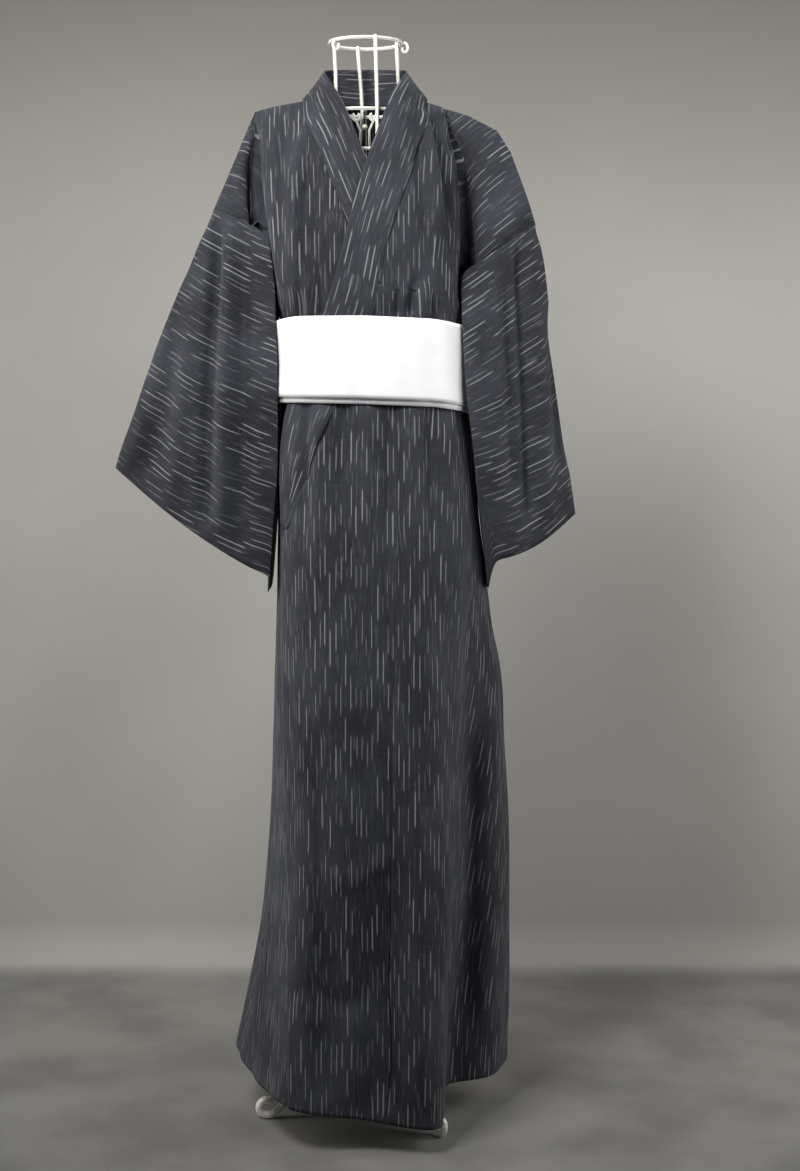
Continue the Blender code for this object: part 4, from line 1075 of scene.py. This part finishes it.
def cotton_material():
    """Dark cotton with broken pale dashes woven along the warp, in staggered clusters."""
    p = Paint(
        "yukata_cotton",
        Specular_IOR_Level=0.28,
        Sheen_Weight=0.10,
        Sheen_Roughness=0.55,
        Sheen_Tint=(0.70, 0.76, 0.90, 1.0),
    )
    u, v = p.lay_cut()
    wander = p.times(p.less(p.noise(p.joined(u, v), 14.0), 0.5), 0.0016)
    column = p.calc("DIVIDE", p.add(u, wander), PITCH)
    number = p.calc("FLOOR", column)
    inside = p.less(p.calc("FRACT", column), 0.5)
    # each column starts its dashes where its neighbours nearly do, so clusters lean and break
    chance = p.node("TexWhiteNoise", noise_dimensions="1D")
    p.put(chance.inputs["W"], number)
    lean = p.times(p.noise(number, 0.21, 1.0, "1D"), 3.4)
    start = p.times_add(chance.outputs["Value"], 0.55, lean)
    place = p.add(p.calc("DIVIDE", v, PERIOD), start)
    along = p.calc("FRACT", place)
    luck = p.node("TexWhiteNoise", noise_dimensions="2D")
    p.put(luck.inputs["Vector"], p.joined(number, p.calc("FLOOR", place)))
    parts = p.node("SeparateColor")
    p.put(parts.inputs[0], luck.outputs["Color"])
    first, second, third = parts.outputs[:3]
    # a dash's two ends, its sides, and whether it is there at all
    low = p.times(first, 0.30)
    high = p.add(low, p.times_add(second, 0.30, 0.38))
    begun = p.step(along, low, p.add(low, 0.12))
    ended = p.step(p.less(high, along), 0.0, 0.12)
    half = p.times_add(third, 0.045, 0.055)
    far = p.calc("ABSOLUTE", p.add(inside, p.times_add(first, 0.30, -0.15)))
    across = p.step(p.less(p.add(half, 0.075), far), 0.0, 0.12)
    patch = p.noise(p.joined(p.calc("DIVIDE", number, 7.0), p.times(v, 4.6)), 1.0, 1.5)
    kept = p.step(p.add(patch, p.times(third, 0.36)), 0.36, 0.56)
    tick = p.times_add(p.grain(500.0, 900.0), 0.9, 0.35)
    mask = p.times(p.times(begun, ended), p.times(across, kept))
    mask = p.times(mask, p.times(tick, p.times_add(second, 0.70, 0.30)))
    mask = p.calc("MAXIMUM", mask, p.times(p.step(p.grain(330.0, 26.0), 0.55, 0.78), 0.22))
    # slubs: thin uneven threads along the warp, fewer across it
    warp, weft = p.grain(900.0, 18.0, 3.0), p.grain(16.0, 700.0, 3.0)
    cloudy = p.grain(9.0, 5.0, 3.0)
    slub = p.times_add(warp, 0.45, p.times_add(weft, 0.25, p.times(cloudy, 0.8)))
    ground = p.blended(p.step(slub, 0.56, 0.92), GROUND_DARK, GROUND_LIGHT)
    threads = [p.calc("SINE", p.times(axis, 2 * math.pi / THREAD)) for axis in (u, v)]
    relief = p.times_add(warp, 0.7, p.times_add(weft, 0.5, p.times(mask, 0.5)))
    relief = p.times_add(p.times(*threads), 0.20, relief)
    colour = p.blended(mask, ground, DASH_COLOUR)
    return p.finish(colour, p.times_add(warp, 0.14, 0.74), relief, 0.45, 0.0004)


def obi_material():
    """Plain white cotton, matt, with a fine even weave and faint creases from winding."""
    p = Paint("obi_cotton", Specular_IOR_Level=0.25, Sheen_Weight=0.15, Sheen_Roughness=0.6)
    p.lay_cut()
    threads, across = p.grain(40.0, 1100.0, 3.0), p.grain(1100.0, 60.0, 3.0)
    cloudy = p.grain(7.0, 16.0, 4.0)
    tone = p.times_add(threads, 0.3, p.times_add(across, 0.3, p.times(cloudy, 0.4)))
    colour = p.blended(p.step(tone, 0.3, 0.7), (0.80, 0.80, 0.82), (0.90, 0.90, 0.91))
    relief = p.times_add(threads, 0.6, p.times_add(across, 0.6, p.times(cloudy, 2.0)))
    return p.finish(colour, p.times_add(threads, 0.12, 0.74), relief, 0.5, 0.0005)


def wire_material():
    """Off-white gloss paint on bent wire, a little uneven, with chips down to dull metal."""
    p = Paint("wire_paint", Coat_Weight=0.25, Coat_Roughness=0.12)
    place = p.node("TexCoord").outputs["Object"]
    pitted = p.noise(place, 140.0, 4.0)
    cloudy = p.noise(place, 22.0, 3.0)
    chips = p.step(p.noise(place, 75.0, 5.0), 0.775, 0.79)
    paint = p.blended(p.step(cloudy, 0.35, 0.7), (0.74, 0.73, 0.66), (0.86, 0.855, 0.80))
    colour = p.blended(chips, paint, (0.16, 0.13, 0.10))
    shine = p.times_add(pitted, 0.22, p.times_add(chips, 0.35, 0.20))
    return p.finish(colour, shine, p.less(pitted, chips), 0.25, 0.0004)


def ground_material():
    """Matt studio paper, pale grey with faint marks and painted shade darkening the wall towards
    its top, which shows from its front only.
    """
    p = Paint("studio_paper", Roughness=0.95, Specular_IOR_Level=0.2)
    place = p.node("TexCoord").outputs["Object"]
    height = p.split(place)[2]
    scuffs = p.step(p.noise(place, 5.0, 8.0), 0.35, 0.65)
    floor = p.blended(scuffs, FLOOR_DARK, FLOOR_LIGHT)
    wall = p.blended(p.step(p.noise(place, 1.3, 5.0), 0.3, 0.7), PAPER_DARK, PAPER_LIGHT)
    # painted shade: the wall fades to a darker tone from 1.1 m up to 2.1 m, standing in for shade
    # at its top
    wall = p.blended(p.step(height, 1.1, 2.1), wall, PAPER_TOP_SHADE)
    p.put(p.shader.inputs["Base Color"], p.blended(p.step(height, 0.0, 0.02), floor, wall))
    mix = p.node("MixShader")
    sources = (
        p.node("NewGeometry").outputs["Backfacing"],
        p.shader.outputs[0],
        p.node("BsdfTransparent").outputs[0],
    )
    for index, source in enumerate(sources):
        p.put(mix.inputs[index], source)
    p.put(p.tree.nodes["Material Output"].inputs["Surface"], mix.outputs[0])
    return p.material


MATERIALS = {"cotton": cotton_material(), "obi": obi_material(), "wire": wire_material()}


# ---- the pieces
def sleeve_cut(side, spots):
    """The flat cut of a sleeve at spots (x, z) of its unrolled side: its warp lies aslant."""
    turn = math.radians(SLANT[side])
    warp = np.array([math.cos(turn) * -side, -math.sin(turn)])
    weft = np.array([-warp[1], warp[0]])
    return spots @ weft + SLEEVE_OFFSET[side][0], spots @ warp + SLEEVE_OFFSET[side][1]


def shoulder_cut(side, grid):
    """The sleeve's cut carried on over the shoulder, as it lies seen from the front."""
    drop = np.abs(grid[..., 1:2]) * np.array([0.0, SHOULDER_DROP])
    return sleeve_cut(side, grid[..., [0, 2]] - drop)


def cut_panel(panel, offset):
    """A panel drawn finer, its flat cut, its folds, and which columns are the shoulder's cap."""
    grid, late = finer(panel, ALONG_STEP, ACROSS_STEP)
    u, v = flat_across(grid, offset[0]), flat_along(grid, offset[1])
    return grid, u, v, folded(grid, FRONT_FOLDS, BACK_FOLDS, 3), late


def make_body(name, side, offset):
    """A body panel, and the line of its armhole seam."""
    flat, u, v, grid, late = cut_panel(body_panel(side), offset)
    foot = armhole_foot(side)
    turned_cut = (late[None] & (flat[:, -1:, 2] > foot), *shoulder_cut(side, flat))
    grid = sunk_edges(grid, side < 0)
    seam = grid[:, -1]
    seam = seam[seam[:, 2] > foot + 0.002]
    return cloth(name, grid, u, v, "cotton", CLOTH, turned_cut=turned_cut), seam


def make_okumi(name, side, offset):
    _, u, v, grid, _ = cut_panel(okumi_panel(side), offset)
    return cloth(name, grid, u, v, "cotton", CLOTH)


def make_collar():
    grid, _ = finer(collar_band(), 0.006, 0.0035)
    u = np.repeat(measure(grid, 1)[None] + 0.0037, len(grid), axis=0)
    v = flat_along(grid, 0.40)
    grid = folded(grid, FRONT_FOLDS, BACK_FOLDS, 3)
    grid = grid + outward_normals(grid) * COLLAR_LIFT
    return cloth("yukata_collar", grid, u, v, "cotton", COLLAR_CLOTH)


def sewn(grid, seam):
    """A sleeve drawn up to the armhole seam, and easing back to its own form below it."""
    gap = seam[None] - grid[0][:, None]
    far = np.linalg.norm(gap, axis=2)
    nearest = far.argmin(axis=1)
    pull = gap[np.arange(len(nearest)), nearest]
    pull = pull * np.exp(-((far.min(axis=1) / SEWN_GAP) ** 4))[:, None]
    share = np.clip(1.0 - np.arange(len(grid)) / (SEWN_SHARE * len(grid)), 0.0, 1.0)
    return grid + pull[None] * (share**1.5)[:, None, None]


def make_sleeve(name, side, folds, seam):
    grid, _ = finer(sleeve(side), ALONG_STEP, SLEEVE_STEP, closed=True)
    half = grid.shape[1] // 2
    fold = grid[:, :1, [0, 2]]
    run = grid[:, half - 2 : half - 1, [0, 2]] - fold
    run = run / np.linalg.norm(run, axis=2, keepdims=True)
    along = row_distances(grid)
    reach_out = np.minimum(along, along[:, -1:] - along)
    u, v = sleeve_cut(side, fold + run * reach_out[..., None])
    grid = sewn(folded(grid, folds, folds, 5 + side, closed=True), seam)
    return cloth(name, grid, u, v, "cotton", CLOTH, closed=True)


def make_obi(name, out, lift, grow):
    """One turn of the obi, with a slight crown across it and a ripple along it."""
    grid, _ = finer(obi_wrap(out, lift, OBI_START), OBI_STEP, OBI_STEP)
    high, around = measure(grid, 0)[:, None], measure(grid, 1)[None]
    share, turn = high / high[-1], around / around.max()
    height = OBI_CROWN * np.sin(math.pi * share) + grow
    for count, phase, size, tilt in OBI_RIPPLES:
        height = height + size * np.sin(2 * math.pi * count * turn + phase + tilt * share)
    u, v = np.broadcast_to(around, height.shape), np.broadcast_to(high, height.shape)
    grid = grid + outward_normals(grid) * height[..., None]
    return cloth(name, grid, u, v, "obi", OBI_CLOTH)


body_left, left_seam = make_body("yukata_body_left", 1, (0.0, 0.0))
body_right, right_seam = make_body("yukata_body_right", -1, (0.0012, 0.37))
okumi_left = make_okumi("yukata_okumi_left", 1, (0.0004, 0.21))
okumi_right = make_okumi("yukata_okumi_right", -1, (0.0, 0.11))
collar = make_collar()
sleeve_left = make_sleeve("yukata_sleeve_left", 1, LEFT_SLEEVE_FOLDS, left_seam)
sleeve_right = make_sleeve("yukata_sleeve_right", -1, RIGHT_SLEEVE_FOLDS, right_seam)
obi_inner = make_obi("obi_first_turn", WALL + 12 * GAP, -0.004, 0.0)
obi_outer = make_obi("obi_second_turn", 2 * WALL + 17 * GAP, 0.004, 0.0006)

for piece, solid in (
    (body_left, "body_left"),
    (body_right, "body_right"),
    (okumi_left, "okumi_left"),
    (okumi_right, "okumi_right"),
    (collar, "collar"),
    (sleeve_left, "sleeve_left"),
    (sleeve_right, "sleeve_right"),
    (obi_inner, "obi_inner"),
    (obi_outer, "obi_outer"),
):
    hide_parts(solid)

for name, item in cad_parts.items():
    if name.startswith(("form_", "foot_")):
        for place in item.material_slots:
            place.material = MATERIALS["wire"]
        if not item.material_slots:
            item.data.materials.append(MATERIALS["wire"])


# ---- studio, light and camera
def backdrop():
    """A paper sweep: the floor, a narrow bend and the wall behind."""
    profile = [(-6.0, 0.0), (WALL_AT - BEND, 0.0)]
    for i in range(1, 13):
        angle = math.radians(90 * i / 12)
        profile.append((WALL_AT - BEND + BEND * math.sin(angle), BEND - BEND * math.cos(angle)))
    profile.append((WALL_AT, 4.5))
    points = [(x, y, z) for y, z in profile for x in (-5.0, 5.0)]
    faces = [(i, i + 1, i + 3, i + 2) for i in range(0, 2 * len(profile) - 2, 2)]
    mesh = bpy.data.meshes.new("studio_sweep")
    mesh.from_pydata(points, [], faces)
    mesh.materials.append(ground_material())
    mesh.shade_smooth()
    new_object("studio_sweep", mesh)


def area_light(name, place, target, size, power, colour, spread=180.0):
    """A soft panel of light at a place, turned to a target, with its spread in degrees."""
    light = bpy.data.lights.new(name, "AREA")
    light.shape = "RECTANGLE"
    light.size, light.size_y = size
    light.energy = power
    light.color = colour
    light.spread = math.radians(spread)
    made = new_object(name, light)
    made.location = place
    x, y, z = np.array(target) - np.array(place)
    made.rotation_euler = (math.atan2(math.hypot(x, y), -z), 0.0, math.atan2(x, -y) + math.pi)


backdrop()
WARM, WHITE, COOL, PALE = (1.0, 0.98, 0.94), (1.0, 0.99, 0.97), (0.95, 0.97, 1.0), (0.97, 0.98, 1.0)
area_light("key", (-0.70, -1.20, 2.36), (0.03, 0.0, 1.30), (0.8, 0.7), 13.6, WHITE, 90.0)
area_light("fill", (1.5, -1.5, 2.05), (0.0, 0.0, 1.35), (1.0, 1.0), 6.0, COOL, 95.0)
area_light("wall_left", (-1.55, -0.1, 1.10), (0.15, 0.80, 0.95), (0.6, 1.5), 14.0, WARM)
area_light("wall_right", (1.60, -0.1, 1.10), (0.05, 0.80, 0.95), (0.6, 1.5), 14.0, WARM)
area_light("back", (0.9, 2.6, 2.4), (0.03, 0.0, 0.9), (1.4, 1.4), 9.0, PALE, 100.0)

world = bpy.data.worlds.new("studio")
bpy.context.scene.world = world
world.use_nodes = True
world.node_tree.nodes["Background"].inputs[0].default_value = (0.93, 0.96, 1.0, 1.0)
world.node_tree.nodes["Background"].inputs[1].default_value = 0.045

camera_data = bpy.data.cameras.new("camera")
camera_data.lens = LENS
camera_data.sensor_width = 36.0
camera = new_object("camera", camera_data)
camera.location = (CAMERA_SIDE + CENTRE[0], -CAMERA_FAR + CENTRE[1], CAMERA_HIGH)
camera.rotation_euler = (math.radians(CAMERA_TILT), 0.0, 0.0)
bpy.context.scene.camera = camera
bpy.context.scene.view_settings.view_transform = "Standard"

bpy.context.view_layer.update()
